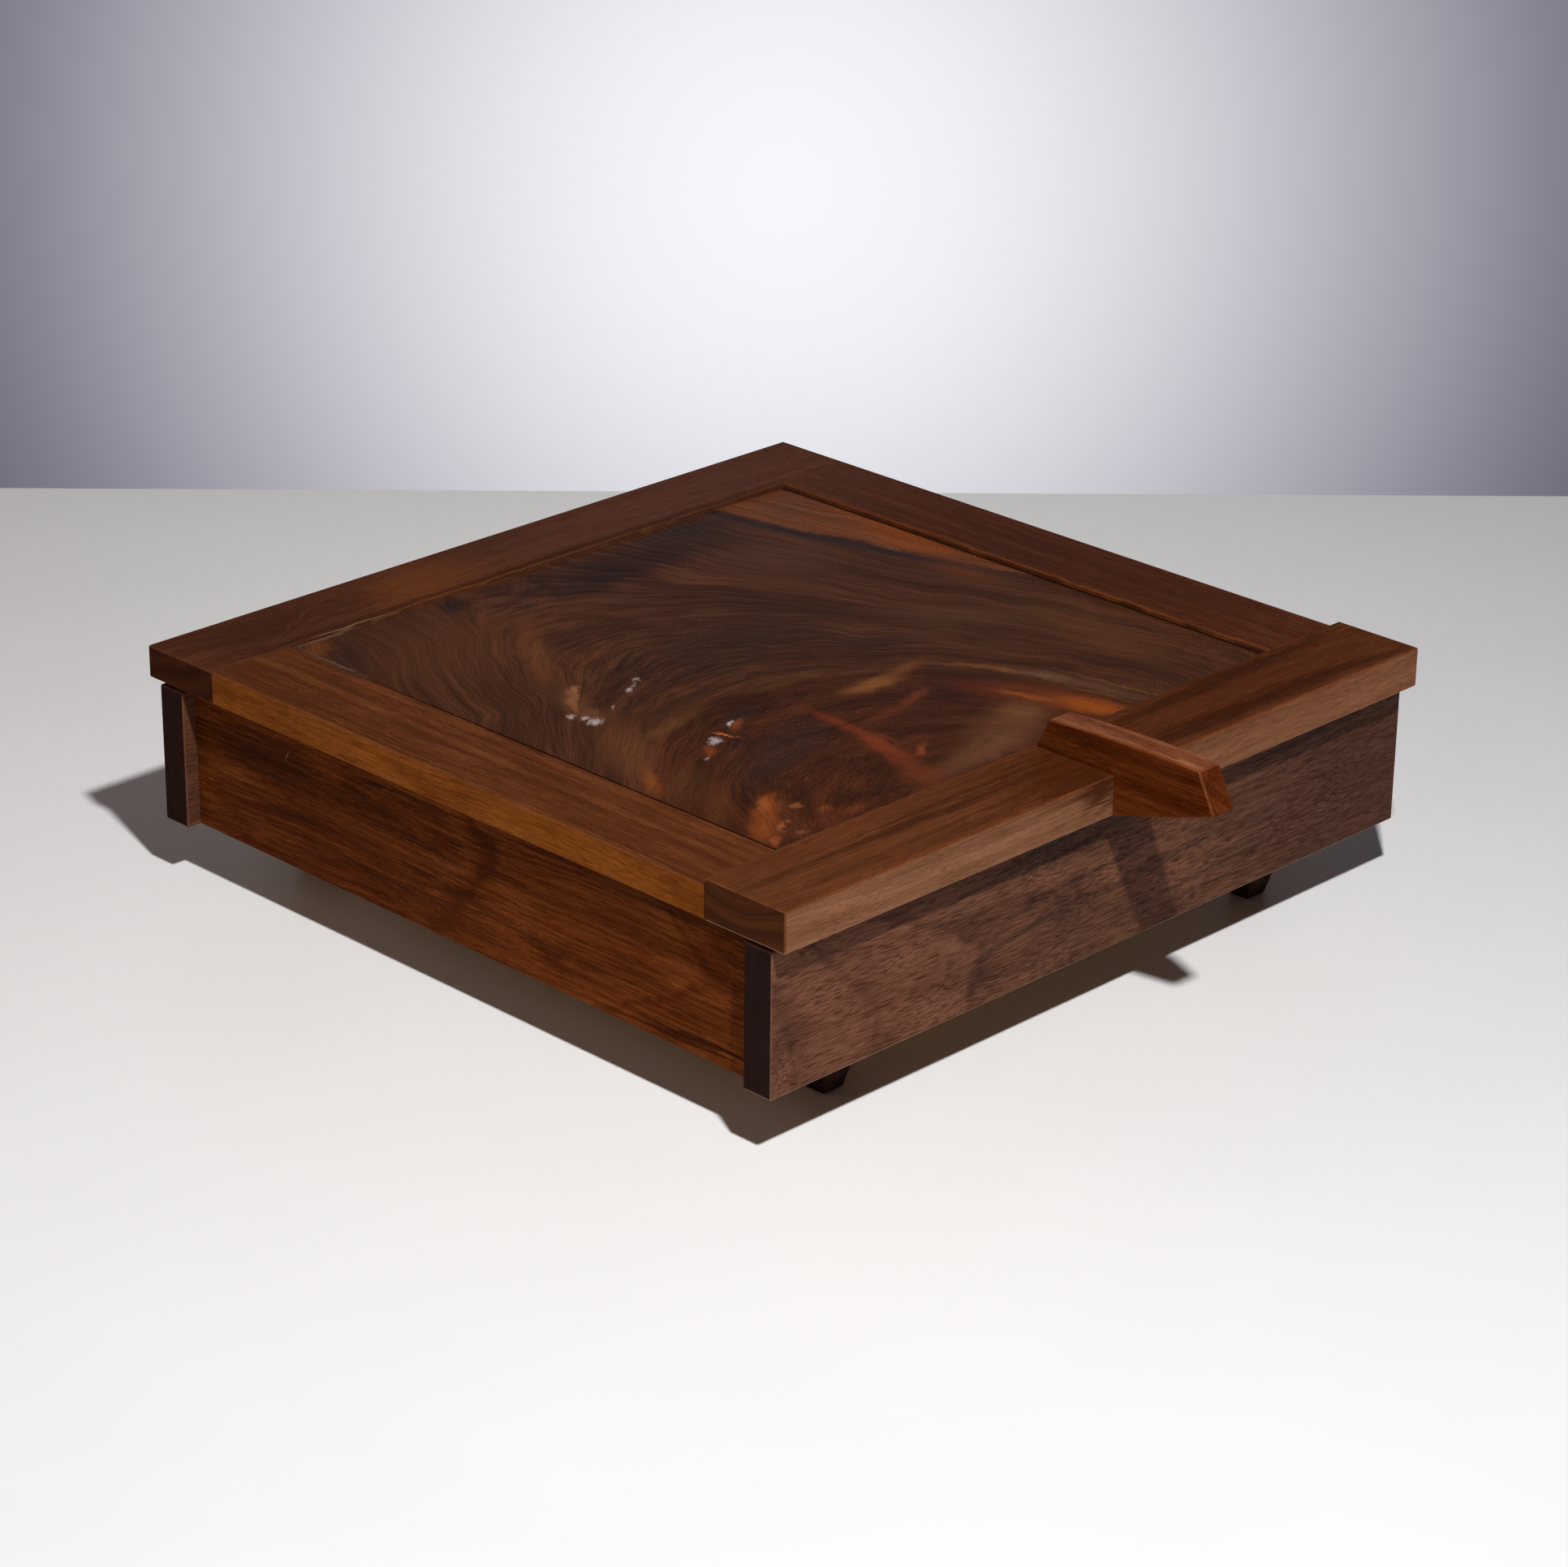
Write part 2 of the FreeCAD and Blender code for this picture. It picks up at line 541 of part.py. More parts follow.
# Lid panel: a tongue all round in the frame's grooves, and a face that lies lower at the right
panel = piece("lid_panel")
tongue_side = f"({FRAME_INNER} + tongue_length)"
block(panel, "panel_tongue", (f"-{tongue_side}", tongue_side),
      (f"({FRONT_RAIL_INNER} - tongue_length)", f"({BACK_RAIL_INNER} + tongue_length)"),
      (f"({GROOVE_LOW} + tongue_fit)", f"({GROOVE_TOP} - tongue_fit)"))
panel_side = f"({FRAME_INNER} - panel_side_gap)"
panel_low = f"({RABBET_TOP} + panel_back_gap)"
panel_section = place_sketch(panel, "panel_section", "XZ_Plane",
                             ("0", "0", f"-({BACK_RAIL_INNER} - panel_end_gap)"))
outline(panel_section, (
    (f"-{panel_side}", panel_low),
    (panel_side, panel_low),
    (panel_side, f"({FRAME_TOP} - panel_recess_right)"),
    (f"-{panel_side}", f"({FRAME_TOP} - panel_recess_left)"),
))
panel_face = extrude(panel, panel_section,
                     f"{BACK_RAIL_INNER} - {FRONT_RAIL_INNER} - 2 * panel_end_gap")
groove_top_height = value_of(GROOVE_TOP)
ease(panel, panel_face, "panel_easing",
     lambda middle, way: middle.z > groove_top_height + 0.5 and abs(way.z) < 0.9)

# Mirror: card, glass and four mitred beads in the rabbets of the lid's underside
for name, low, high in (("mirror_backing", BACKING_LOW, RABBET_TOP),
                        ("mirror_glass", GLASS_LOW, BACKING_LOW)):
    sheet = piece(name)
    reach = "(glass_ledge - glass_clearance)"
    plate = block(sheet, name + "_sheet", (f"-({FRAME_INNER} + {reach})", f"({FRAME_INNER} + {reach})"),
                  (f"({FRONT_RAIL_INNER} - {reach})", f"({BACK_RAIL_INNER} + {reach})"), (low, high))
    if name == "mirror_glass":
        ease(sheet, plate, "glass_easing")

bead_out = "(bead_width - bead_clearance)"
BEAD_OUTER = (f"({FRAME_INNER} + {bead_out})", f"({FRONT_RAIL_INNER} - {bead_out})",
              f"({BACK_RAIL_INNER} + {bead_out})")
BEAD_INNER = (FRAME_INNER, FRONT_RAIL_INNER, BACK_RAIL_INNER)


def bead_outline(name):
    """Corners of a mitred bead, outer edge first."""
    outer_x, outer_front, outer_back = BEAD_OUTER
    inner_x, inner_front, inner_back = BEAD_INNER
    left, right = (f"-{outer_x}", f"-{inner_x}"), (outer_x, inner_x)
    return {
        "front": ((left[0], outer_front), (right[0], outer_front),
                  (right[1], inner_front), (left[1], inner_front)),
        "back": ((left[0], outer_back), (right[0], outer_back),
                 (right[1], inner_back), (left[1], inner_back)),
        "left": ((left[0], outer_front), (left[0], outer_back),
                 (left[1], inner_back), (left[1], inner_front)),
        "right": ((right[0], outer_front), (right[0], outer_back),
                  (right[1], inner_back), (right[1], inner_front)),
    }[name]


def bead_screw_spots(name):
    """Screw places along a bead, in a line inside its outer edge."""
    middle = f"(({FRONT_RAIL_INNER} + {BACK_RAIL_INNER}) / 2)"
    steps = [index - (SCREWS_PER_BEAD - 1) / 2 for index in range(SCREWS_PER_BEAD)]
    return {
        "front": [(f"{step} * bead_screw_pitch", f"({FRONT_RAIL_INNER} - {BEAD_SCREW_OUT})")
                  for step in steps],
        "back": [(f"{step} * bead_screw_pitch", f"({BACK_RAIL_INNER} + {BEAD_SCREW_OUT})")
                 for step in steps],
        "left": [(f"-({FRAME_INNER} + {BEAD_SCREW_OUT})", f"({middle} + {step} * bead_screw_pitch)")
                 for step in steps],
        "right": [(f"({FRAME_INNER} + {BEAD_SCREW_OUT})", f"({middle} + {step} * bead_screw_pitch)")
                  for step in steps],
    }[name]


def faces_mirror(middle, way):
    """Whether an edge lies on a bead's face beside the mirror."""
    inner_x, inner_front, inner_back = (value_of(each) for each in BEAD_INNER)
    return (lies_at(middle.z, BEAD_LOW) and abs(middle.x) < inner_x + 0.01 and
            inner_front - 0.01 < middle.y < inner_back + 0.01)


bead_spots = []
for name, member in (("front", front_rail), ("back", back_rail),
                     ("left", left_stile), ("right", right_stile)):
    bead = piece(f"mirror_bead_{name}")
    plan = place_sketch(bead, f"bead_{name}_plan", "XY_Plane", ("0", "0", BEAD_LOW))
    strip = extrude(bead, outline(plan, bead_outline(name)), "bead_thickness")
    ease(bead, strip, "bead_chamfer", faces_mirror)
    spots = bead_screw_spots(name)
    screw_holes(bead, f"bead_{name}_holes", "bead", spots, BEAD_LOW, 1, sunk=True)
    screw_holes(member, f"frame_{name}_pilots", "bead", spots, BEAD_LOW, 1)
    bead_spots.extend(spots)
screws("bead_screws", "bead", bead_spots, BEAD_LOW, 1)

# Finger pull: one bar whose inner half lies on the front rail and whose outer half drops down
# the rail's face and rises again to the tip. Both ends lean, longer below than above.
handle = piece("handle")
profile = place_sketch(handle, "handle_profile", "YZ_Plane",
                       (LID_FRONT, LID_LOW, "-handle_width / 2"))
RAIL = "front_rail_thickness"
outline(profile, (
    ("0", "0"),
    ("0", RAIL),
    ("handle_seat", RAIL),
    ("handle_seat - handle_inner_lean", f"({RAIL} + handle_rise)"),
    ("-handle_reach + handle_outer_lean", f"({RAIL} + handle_tip_rise)"),
    ("-handle_reach", "handle_tip_lift"),
), bows={
    3: ("(handle_seat - handle_inner_lean - handle_reach + handle_outer_lean) / 2",
        f"({RAIL} + handle_crown_rise)"),
    5: ("-handle_reach / 2", "handle_tip_lift / 2 - handle_belly"),
})
bar = extrude(handle, profile, "handle_width")
face_y, seat_z = value_of(LID_FRONT), value_of(RAIL_TOP)


def shows_on_bar(middle, way):
    on_seat = abs(middle.z - seat_z) < 0.01 and middle.y > face_y - 0.01
    on_face = abs(middle.y - face_y) < 0.01 and middle.z < seat_z + 0.01
    return not on_seat and not on_face


ease(handle, bar, "handle_easing", shows_on_bar)
screw_holes(front_rail, "rail_screw_holes", "handle", HANDLE_SCREWS, LID_LOW, 1, sunk=True)
screw_holes(handle, "handle_pilots", "handle", HANDLE_SCREWS, LID_LOW, 1)
screws("handle_screws", "handle", HANDLE_SCREWS, LID_LOW, 1)


# Hinges: leaves drawn round the barrel's axis. The body leaf (way -1) lies in the back board's
# top edge with the outer knuckles, and the lid leaf (way 1) in the lid with those between.
def leaf(name, way, first_knuckle, pin_fit):
    body = piece(name)
    near, far = "(lid_gap / 2)", "(lid_gap / 2 + leaf_thickness)"
    upright = (near, far) if way > 0 else (f"-{far}", f"-{near}")
    end = "(hinge_length / 2)"
    notch = f"({KNUCKLE_RADIUS} + leaf_clearance)"
    block(body, name + "_plate", (f"-{end}", end), ("-leaf_width", f"-{notch}"), upright)
    for index in range(first_knuckle, KNUCKLES, 2):
        low = f"({index} * {KNUCKLE_PITCH} - {end} + knuckle_play / 2)"
        length = f"({KNUCKLE_PITCH} - knuckle_play)"
        block(body, f"{name}_tab_{index}", (low, f"({low} + {length})"), (f"-{notch}", "0"), upright)
        ring = place_sketch(body, f"{name}_knuckle_{index}", "YZ_Plane", ("0", "0", low))
        extrude(body, disc(ring, KNUCKLE_RADIUS), length)
    bore = place_sketch(body, name + "_bore", "YZ_Plane", ("0", "0", f"-{end}"))
    extrude(body, disc(bore, f"hinge_pin_radius + {pin_fit}"), "hinge_length", cut=True)
    screw_holes(body, name + "_holes", "leaf", leaf_spots("0", "0"), f"{way} * {near}", way, sunk=True)
    return body


def leaf_spots(place, line):
    """Screw places in a leaf whose barrel has its middle at a place and its axis on a line."""
    return [(f"({place} + {index - (SCREWS_PER_LEAF - 1) / 2} * leaf_screw_pitch)",
             f"({line} - leaf_screw_line)") for index in range(SCREWS_PER_LEAF)]


hinge_spots = []
for hand, place in (("left", f"-{HINGE_PLACE}"), ("right", HINGE_PLACE)):
    body_leaf = leaf(f"hinge_body_leaf_{hand}", -1, 0, "hinge_pin_seat")
    lid_leaf = leaf(f"hinge_lid_leaf_{hand}", 1, 1, "hinge_pin_play")
    rod = piece(f"hinge_pin_{hand}")
    rod_end = place_sketch(rod, f"pin_{hand}_end", "YZ_Plane", ("0", "0", "-hinge_length / 2"))
    extrude(rod, disc(rod_end, "hinge_pin_radius"), "hinge_length")
    for body in (body_leaf, lid_leaf, rod):
        stand(body, place, BOARD_BACK, HINGE_HEIGHT)
    across = (f"({place} - hinge_length / 2 - mortise_clearance)",
              f"({place} + hinge_length / 2 + mortise_clearance)")
    leaf_front = f"({BOARD_BACK} - leaf_width - mortise_clearance)"
    block(back_board, f"board_mortise_{hand}", across, (leaf_front, BOARD_BACK),
          (f"({BOARD_TOP} - leaf_thickness)", BOARD_TOP), cut=True)
    barrel_back = f"({BOARD_BACK} + {KNUCKLE_RADIUS} + barrel_clearance)"
    block(back_rail, f"rail_mortise_{hand}", across, (leaf_front, barrel_back),
          (LID_LOW, f"({LID_LOW} + leaf_thickness)"), cut=True)
    hinge_spots.extend(leaf_spots(place, BOARD_BACK))
for way, level, member, name in ((-1, BOARD_TOP, back_board, "body_leaf_screws"),
                                 (1, LID_LOW, back_rail, "lid_leaf_screws")):
    screw_holes(member, name + "_pilots", "leaf", hinge_spots, level, way)
    screws(name, "leaf", hinge_spots, level, way)

# Check every object and write each part to its own file
doc.recompute()
for each in doc.Objects:
    if {"Invalid", "Error"} & set(each.State):
        raise ValueError(f"{each.Label} failed")
for body in pieces:
    if body.Shape.isNull() or not body.Shape.isValid():
        raise ValueError(f"{body.Label} has no valid shape")
os.makedirs("parts", exist_ok=True)
for body in pieces:
    body.Shape.exportStep(f"parts/{body.Label}.step")
    print(f"{body.Label}: {len(body.Shape.Solids)} solid(s), {body.Shape.Volume / 1000:.2f} cm3")
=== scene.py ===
import math

import bpy
from mathutils import Matrix, Vector


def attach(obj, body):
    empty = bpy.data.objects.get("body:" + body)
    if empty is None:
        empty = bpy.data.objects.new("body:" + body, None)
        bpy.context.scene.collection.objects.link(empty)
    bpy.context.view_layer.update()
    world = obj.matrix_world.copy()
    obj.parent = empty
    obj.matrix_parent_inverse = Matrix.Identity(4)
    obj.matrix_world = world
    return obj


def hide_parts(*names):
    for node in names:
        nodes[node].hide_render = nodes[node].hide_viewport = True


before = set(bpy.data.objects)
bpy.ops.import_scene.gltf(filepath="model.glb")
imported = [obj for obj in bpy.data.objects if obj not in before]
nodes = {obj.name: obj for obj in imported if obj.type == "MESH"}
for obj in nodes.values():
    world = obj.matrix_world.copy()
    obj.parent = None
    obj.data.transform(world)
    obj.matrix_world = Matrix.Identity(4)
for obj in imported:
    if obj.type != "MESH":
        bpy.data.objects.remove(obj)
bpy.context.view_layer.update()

scene = bpy.context.scene


# Camera
# A long lens on a stand, looking down at the box's front left corner. Its length is in pixels of
# the photograph's width, and it is turned, dropped and rolled by three angles.
LENS_PIXELS, PHOTO_PIXELS, SENSOR_WIDTH = 5523.8, 1932, 36
VIEW_TURN, VIEW_DROP, VIEW_ROLL = (math.radians(a) for a in (45.480, 23.462, 0.653))
VIEW_POINT = Vector((-1.50715, -1.45258, 0.96863))

across = Vector((math.cos(VIEW_TURN), -math.sin(VIEW_TURN), 0))
inward = Vector((math.sin(VIEW_TURN), math.cos(VIEW_TURN), 0))
ahead = Vector((math.sin(VIEW_TURN) * math.cos(VIEW_DROP),
                math.cos(VIEW_TURN) * math.cos(VIEW_DROP), -math.sin(VIEW_DROP)))
over = across.cross(ahead)
side_axis = math.cos(VIEW_ROLL) * across + math.sin(VIEW_ROLL) * over
top_axis = math.cos(VIEW_ROLL) * over - math.sin(VIEW_ROLL) * across
camera = bpy.data.objects.new("camera", bpy.data.cameras.new("camera"))
scene.collection.objects.link(camera)
camera.data.sensor_width = SENSOR_WIDTH
camera.data.lens = LENS_PIXELS / PHOTO_PIXELS * SENSOR_WIDTH
stand = Matrix((side_axis, top_axis, -ahead)).transposed().to_4x4()
stand.translation = VIEW_POINT
camera.matrix_world = stand
scene.camera = camera
scene.view_settings.view_transform = "Standard"


# Table, studio walls and light
# A pale, half matt table top in front of a lilac-grey backdrop. Light is painted on both: the
# table is painted brighter far from the camera and on its left, and the backdrop glows with a
# painted pool of light in its middle. One small lamp stands at the front left, above the box, a
# wide warm one fills in weakly from the back left, and the room gives a faint even light.
TABLE_REACH = 6
TABLE_TINT = (1.0, 0.99, 0.982)
# the table's greys from near to far, brightening with distance as painted light
TABLE_TONES_AND_PAINTED_LIGHT = ((0, 0.84), (0.14, 0.88), (0.3, 0.91), (0.58, 0.95), (0.92, 0.96))
WALL_DISTANCE, WALL_REACH, WALL_HEIGHT, WALL_TURN = 0.606, 0.63, 0.62, math.radians(1.04)
# The backdrop's colours are painted light: an emission over a pool that glows in its middle
WALL_PAINTED_GLOW_TONES = ((0, (0.0, 0.0, 0.02, 1)), (0.26, (0.232, 0.226, 0.285, 1)),
              (0.75, (0.700, 0.695, 0.745, 1)), (1, (0.93, 0.93, 0.965, 1)))
GLOW_ALONG, GLOW_UP = (-0.014, 0.292), (0.2, 0.3)  # middle and width of the bright pool
STUDIO_GREY = (0.30, 0.30, 0.35, 1)
ROOM_LIGHT = (0.048, 0.042, 0.040, 1)
LAMP_PLACE, LAMP_RADIUS, LAMP_POWER = (-0.5817, -0.9166, 1.5021), 0.045, 126
FILL_PLACE, FILL_AIM, FILL_TINT = (-1.3, 1.3, 0.8), (0, 0, 0.05), (1.0, 0.82, 0.70)
FILL_SIZE, FILL_POWER = 1.0, 2.9


def grey(level):
    """A grey of one level."""
    return (level, level, level, 1)


def join(tree, made, wires):
    """A wire that is given a socket is joined to it, and any other gets a value."""
    for name, value in wires.items():
        if isinstance(value, bpy.types.NodeSocket):
            tree.links.new(value, made.inputs[name])
        else:
            made.inputs[name].default_value = value


def put(tree, kind, wires=None, out=0, **settings):
    """One node with its settings and wires: one of its outputs."""
    made = tree.nodes.new(kind)
    for name, value in settings.items():
        setattr(made, name, value)
    join(tree, made, wires or {})
    return made.outputs[out]


def sums(tree, operation, *values, clamp=False):
    """The result of one arithmetic step."""
    return put(tree, "ShaderNodeMath", dict(enumerate(values)), operation=operation,
               use_clamp=clamp)


def vectors(tree, operation, *values, out=0):
    """The result of one step with vectors."""
    return put(tree, "ShaderNodeVectorMath", dict(enumerate(values)), out=out,
               operation=operation)


def noise(tree, at, scale, detail, rough=0.5, sides=3, out=0):
    """A cloudy pattern in so many dimensions, as a value or, with out=1, as a colour."""
    return put(tree, "ShaderNodeTexNoise",
               {"W" if sides == 1 else "Vector": at, "Scale": scale, "Detail": detail,
                "Roughness": rough}, out=out, noise_dimensions=f"{sides}D")


def spread(tree, value, low, high, to_low=0.0, to_high=1.0, smooth=True):
    """A value between low and high, spread over another range and held at its ends."""
    return put(tree, "ShaderNodeMapRange",
               {"Value": value, "From Min": low, "From Max": high, "To Min": to_low,
                "To Max": to_high}, interpolation_type="SMOOTHSTEP" if smooth else "LINEAR")


def layer(tree, mode, amount, under, top):
    """One colour laid over another."""
    return put(tree, "ShaderNodeMix", {0: amount, 6: under, 7: top}, out=2, data_type="RGBA",
               blend_type=mode, clamp_factor=True)


def tones(tree, value, *stops):
    """A row of colours, each at its place between 0 and 1."""
    made = tree.nodes.new("ShaderNodeValToRGB")
    tree.links.new(value, made.inputs[0])
    while len(made.color_ramp.elements) < len(stops):
        made.color_ramp.elements.new(0.5)
    for element, (at, colour) in zip(made.color_ramp.elements, stops):
        element.position = at
        element.color = colour
    return made.outputs[0]


def parts_of(tree, vector):
    """A vector's x, y and z."""
    made = tree.nodes.new("ShaderNodeSeparateXYZ")
    tree.links.new(vector, made.inputs[0])
    return made.outputs


def fresh_material(name):
    """An empty material, its tree, and each point's place on the piece."""
    made = bpy.data.materials.new(name)
    made.use_nodes = True
    made.node_tree.nodes.clear()
    return made, made.node_tree, put(made.node_tree, "ShaderNodeTexCoord", out=3)


def surfaced(tree, wires, kind="ShaderNodeBsdfPrincipled"):
    """The shader that gives a material its surface."""
    tree.links.new(put(tree, kind, wires), tree.nodes.new("ShaderNodeOutputMaterial").inputs[0])


def bell(tree, value, middle, width):
    """A smooth hump round a middle."""
    away = sums(tree, "DIVIDE", sums(tree, "SUBTRACT", value, middle), width)
    return sums(tree, "POWER", math.exp(-0.5), sums(tree, "MULTIPLY", away, away))


def flat_piece(name, corners, material):
    """A flat stage piece with one face."""
    mesh = bpy.data.meshes.new(name)
    mesh.from_pydata(corners, [], [tuple(range(len(corners)))])
    made = bpy.data.objects.new(name, mesh)
    scene.collection.objects.link(made)
    made.data.materials.append(material)
    return made


# Painted light: the table is painted a little brighter far from the camera and on its left, as the
# studio light falls on it
table_paint, tree, spot = fresh_material("table_paint")
depth = vectors(tree, "DOT_PRODUCT", spot, inward, out=1)
sideways = vectors(tree, "DOT_PRODUCT", spot, across, out=1)
speckle = noise(tree, spot, 9.0, 3.0)
level = tones(tree, spread(tree, depth, -0.6, 0.6, smooth=False),
              *[(at, grey(tone)) for at, tone in TABLE_TONES_AND_PAINTED_LIGHT])
level = sums(tree, "ADD", level, spread(tree, sideways, -0.5, 0.5, 0.045, -0.045))
level = sums(tree, "ADD", level, spread(tree, speckle, 0.3, 0.7, -0.006, 0.006))
surfaced(tree, {"Base Color": vectors(tree, "MULTIPLY", level, TABLE_TINT), "Roughness": 0.42})
flat_piece("table", [(-TABLE_REACH, -TABLE_REACH, 0), (TABLE_REACH, -TABLE_REACH, 0),
                     (TABLE_REACH, TABLE_REACH, 0), (-TABLE_REACH, TABLE_REACH, 0)], table_paint)

# The walls show from inside, to the camera and in clear reflections, and let the light through.
# Their emission is painted light: a glowing pool in the middle of the backdrop, dimmer to the
# sides and below, and grey towards the top
wall_paper, tree, spot = fresh_material("wall_paper")
run, rise, _ = parts_of(tree, spot)
painted_pool = sums(tree, "MULTIPLY", bell(tree, run, *GLOW_ALONG), bell(tree, rise, *GLOW_UP))
painted_glow = layer(tree, "MIX", spread(tree, rise, 0.33, WALL_HEIGHT),
              tones(tree, painted_pool, *WALL_PAINTED_GLOW_TONES), STUDIO_GREY)
path = tree.nodes.new("ShaderNodeLightPath").outputs
mirrored = sums(tree, "ADD", path["Is Glossy Ray"], path["Is Transmission Ray"], clamp=True)
shown = sums(tree, "ADD", path["Is Camera Ray"], sums(
    tree, "MULTIPLY", mirrored, spread(tree, rise, 0.36, 0.3)), clamp=True)
inner_face = sums(tree, "SUBTRACT", 1.0, put(tree, "ShaderNodeNewGeometry", out=6))
surfaced(tree, {0: sums(tree, "MULTIPLY", shown, inner_face),
                1: put(tree, "ShaderNodeBsdfTransparent"),
                2: put(tree, "ShaderNodeEmission", {"Color": painted_glow})}, "ShaderNodeMixShader")
for quarter in range(4):
    wall = flat_piece(f"wall_{quarter}",
                      [(-WALL_REACH, 0, 0), (WALL_REACH, 0, 0), (WALL_REACH, WALL_HEIGHT, 0),
                       (-WALL_REACH, WALL_HEIGHT, 0)], wall_paper)
    turn = Matrix.Rotation(-VIEW_TURN + WALL_TURN * (quarter == 0) - quarter * math.pi / 2, 4, "Z")
    wall.matrix_world = turn @ Matrix.Translation((0, WALL_DISTANCE, 0)) @ \
        Matrix.Rotation(math.pi / 2, 4, "X")

room = bpy.data.worlds.new("room")
scene.world = room
room.use_nodes = True
tree = room.node_tree
tree.nodes.clear()
shade = layer(tree, "MIX", put(tree, "ShaderNodeLightPath"), ROOM_LIGHT, STUDIO_GREY)
tree.links.new(put(tree, "ShaderNodeBackground", {"Color": shade}),
               tree.nodes.new("ShaderNodeOutputWorld").inputs[0])

lamp = bpy.data.objects.new("lamp", bpy.data.lights.new("lamp", "POINT"))
lamp.location = LAMP_PLACE
lamp.data.energy = LAMP_POWER
lamp.data.shadow_soft_size = LAMP_RADIUS
scene.collection.objects.link(lamp)
fill = bpy.data.objects.new("fill", bpy.data.lights.new("fill", "AREA"))
fill.location = FILL_PLACE
fill.rotation_euler = (Vector(FILL_AIM) - fill.location).to_track_quat("-Z", "Y").to_euler()
fill.data.energy, fill.data.size, fill.data.color = FILL_POWER, FILL_SIZE, FILL_TINT
scene.collection.objects.link(fill)


# Front and back boards
# Black walnut, 18 mm thick, sawn with the grain along the box, planed and oiled to a satin. Wide
# cathedral figure shows at the front board's left end, and the ends are nearly black.
STREAK_LENGTH, VESSEL_LENGTH, HAIR_LENGTH, HAIR_WIDTH = 0.07, 0.011, 0.008, 0.00025
CROWD_LENGTH, CROWD_WIDTH, CLOUD_LENGTH, CLOUD_WIDTH = 0.05, 0.006, 0.045, 0.016
TIP_ROUNDING, TIP_SETBACK = 60.0, 7.7
MOTTLING = 0.2


def stain(red, green, blue):
    """A colour as a paint chart gives it, 0 to 255, as the shader's own four numbers."""
    parts = [value / 255 for value in (red, green, blue)]
    return [p / 12.92 if p <= 0.04045 else ((p + 0.055) / 1.055) ** 2.4 for p in parts] + [1]


def blend(tree, *parts):
    """The sum of values, each times its own weight."""
    first, *others = [sums(tree, "MULTIPLY", value, weight) for value, weight in parts]
    for part in others:
        first = sums(tree, "ADD", first, part)
    return first


def open_group(name, inputs, outputs, kind="ShaderNodeTree", gives="Float"):
    """An empty group with its named sockets: its tree, its inputs and its results."""
    group = bpy.data.node_groups.new(name, kind)
    for label, socket, *value in inputs:
        made = group.interface.new_socket(label, in_out="INPUT",
                                          socket_type="NodeSocket" + socket)
        if value:
            made.default_value = value[0]
    for label in outputs:
        group.interface.new_socket(label, in_out="OUTPUT", socket_type="NodeSocket" + gives)
    return (group, group.nodes.new("NodeGroupInput").outputs,
            group.nodes.new("NodeGroupOutput").inputs)


def use_group(tree, group, wires):
    """A group placed in a material with its own values: its outputs."""
    made = tree.nodes.new("ShaderNodeGroup")
    made.node_tree = group
    join(tree, made, wires)
    return made.outputs


def stretched(tree, vector, along, width):
    """Coordinates in which a noise comes out as dashes of that length and width."""
    thin = sums(tree, "DIVIDE", 1.0, width)
    return vectors(tree, "MULTIPLY", vectors(tree, "MULTIPLY", vector, (1 / along, 1, 1)),
                   put(tree, "ShaderNodeCombineXYZ", {0: 1.0, 1: thin, 2: thin}))


# The board's own grain: x runs along the grain, and the pith is at y and z of nought.
board_grain, given, result = open_group(
    "board_grain", [("Vector", "Vector"), ("Ring Width", "Float", 0.005),
                    ("Waviness", "Float", 0.004), ("Streak Width", "Float", 0.0011),
                    ("Pore Size", "Float", 0.0003)],
    ("Rings", "Late Wood", "Streaks", "Pores", "Mottle"))
tree = board_grain
slow = vectors(tree, "MULTIPLY", given["Vector"], (5.0, 16.0, 16.0))
wander = vectors(tree, "SUBTRACT", noise(tree, slow, 1.0, 2.0, out=1), (0.5, 0.5, 0.5))
sway = put(tree, "ShaderNodeVectorMath",
           {0: wander, "Scale": sums(tree, "MULTIPLY", given["Waviness"], 4.0)},
           operation="SCALE")
swayed = vectors(tree, "ADD", given["Vector"], sway)
_, off_y, off_z = parts_of(tree, swayed)
from_pith = sums(tree, "SQRT", blend(tree, (off_y, off_y), (off_z, off_z)))
years = sums(tree, "DIVIDE", from_pith, given["Ring Width"])
bands = noise(tree, years, 0.8, 2.0, 0.6, sides=1)
tree.links.new(spread(tree, bands, 0.3, 0.7), result["Rings"])
season = sums(tree, "FRACT", years)
tree.links.new(sums(tree, "POWER", season, 5.0), result["Late Wood"])
streaks = noise(tree, stretched(tree, swayed, STREAK_LENGTH, given["Streak Width"]), 1.0, 3.0,
                0.55)
tree.links.new(spread(tree, streaks, 0.25, 0.75, smooth=False), result["Streaks"])
crowd = noise(tree, stretched(tree, swayed, CROWD_LENGTH, CROWD_WIDTH), 1.0, 2.0)
crowd = sums(tree, "ADD", spread(tree, crowd, 0.3, 0.7, -0.025, 0.025),
             spread(tree, season, 0.9, 0.1, -0.02, 0.03))
vessels = noise(tree, stretched(tree, swayed, VESSEL_LENGTH, given["Pore Size"]), 1.0, 0.0)
vessels = spread(tree, sums(tree, "ADD", vessels, crowd), 0.53, 0.58)
hairs = noise(tree, stretched(tree, swayed, HAIR_LENGTH, HAIR_WIDTH), 1.0, 0.0)
hairs = spread(tree, sums(tree, "ADD", hairs, crowd), 0.5, 0.62, 0.0, 0.45)
tree.links.new(sums(tree, "MAXIMUM", vessels, hairs), result["Pores"])
cloud = noise(tree, stretched(tree, given["Vector"], CLOUD_LENGTH, CLOUD_WIDTH), 1.0, 3.0)
tree.links.new(spread(tree, cloud, 0.3, 0.7), result["Mottle"])
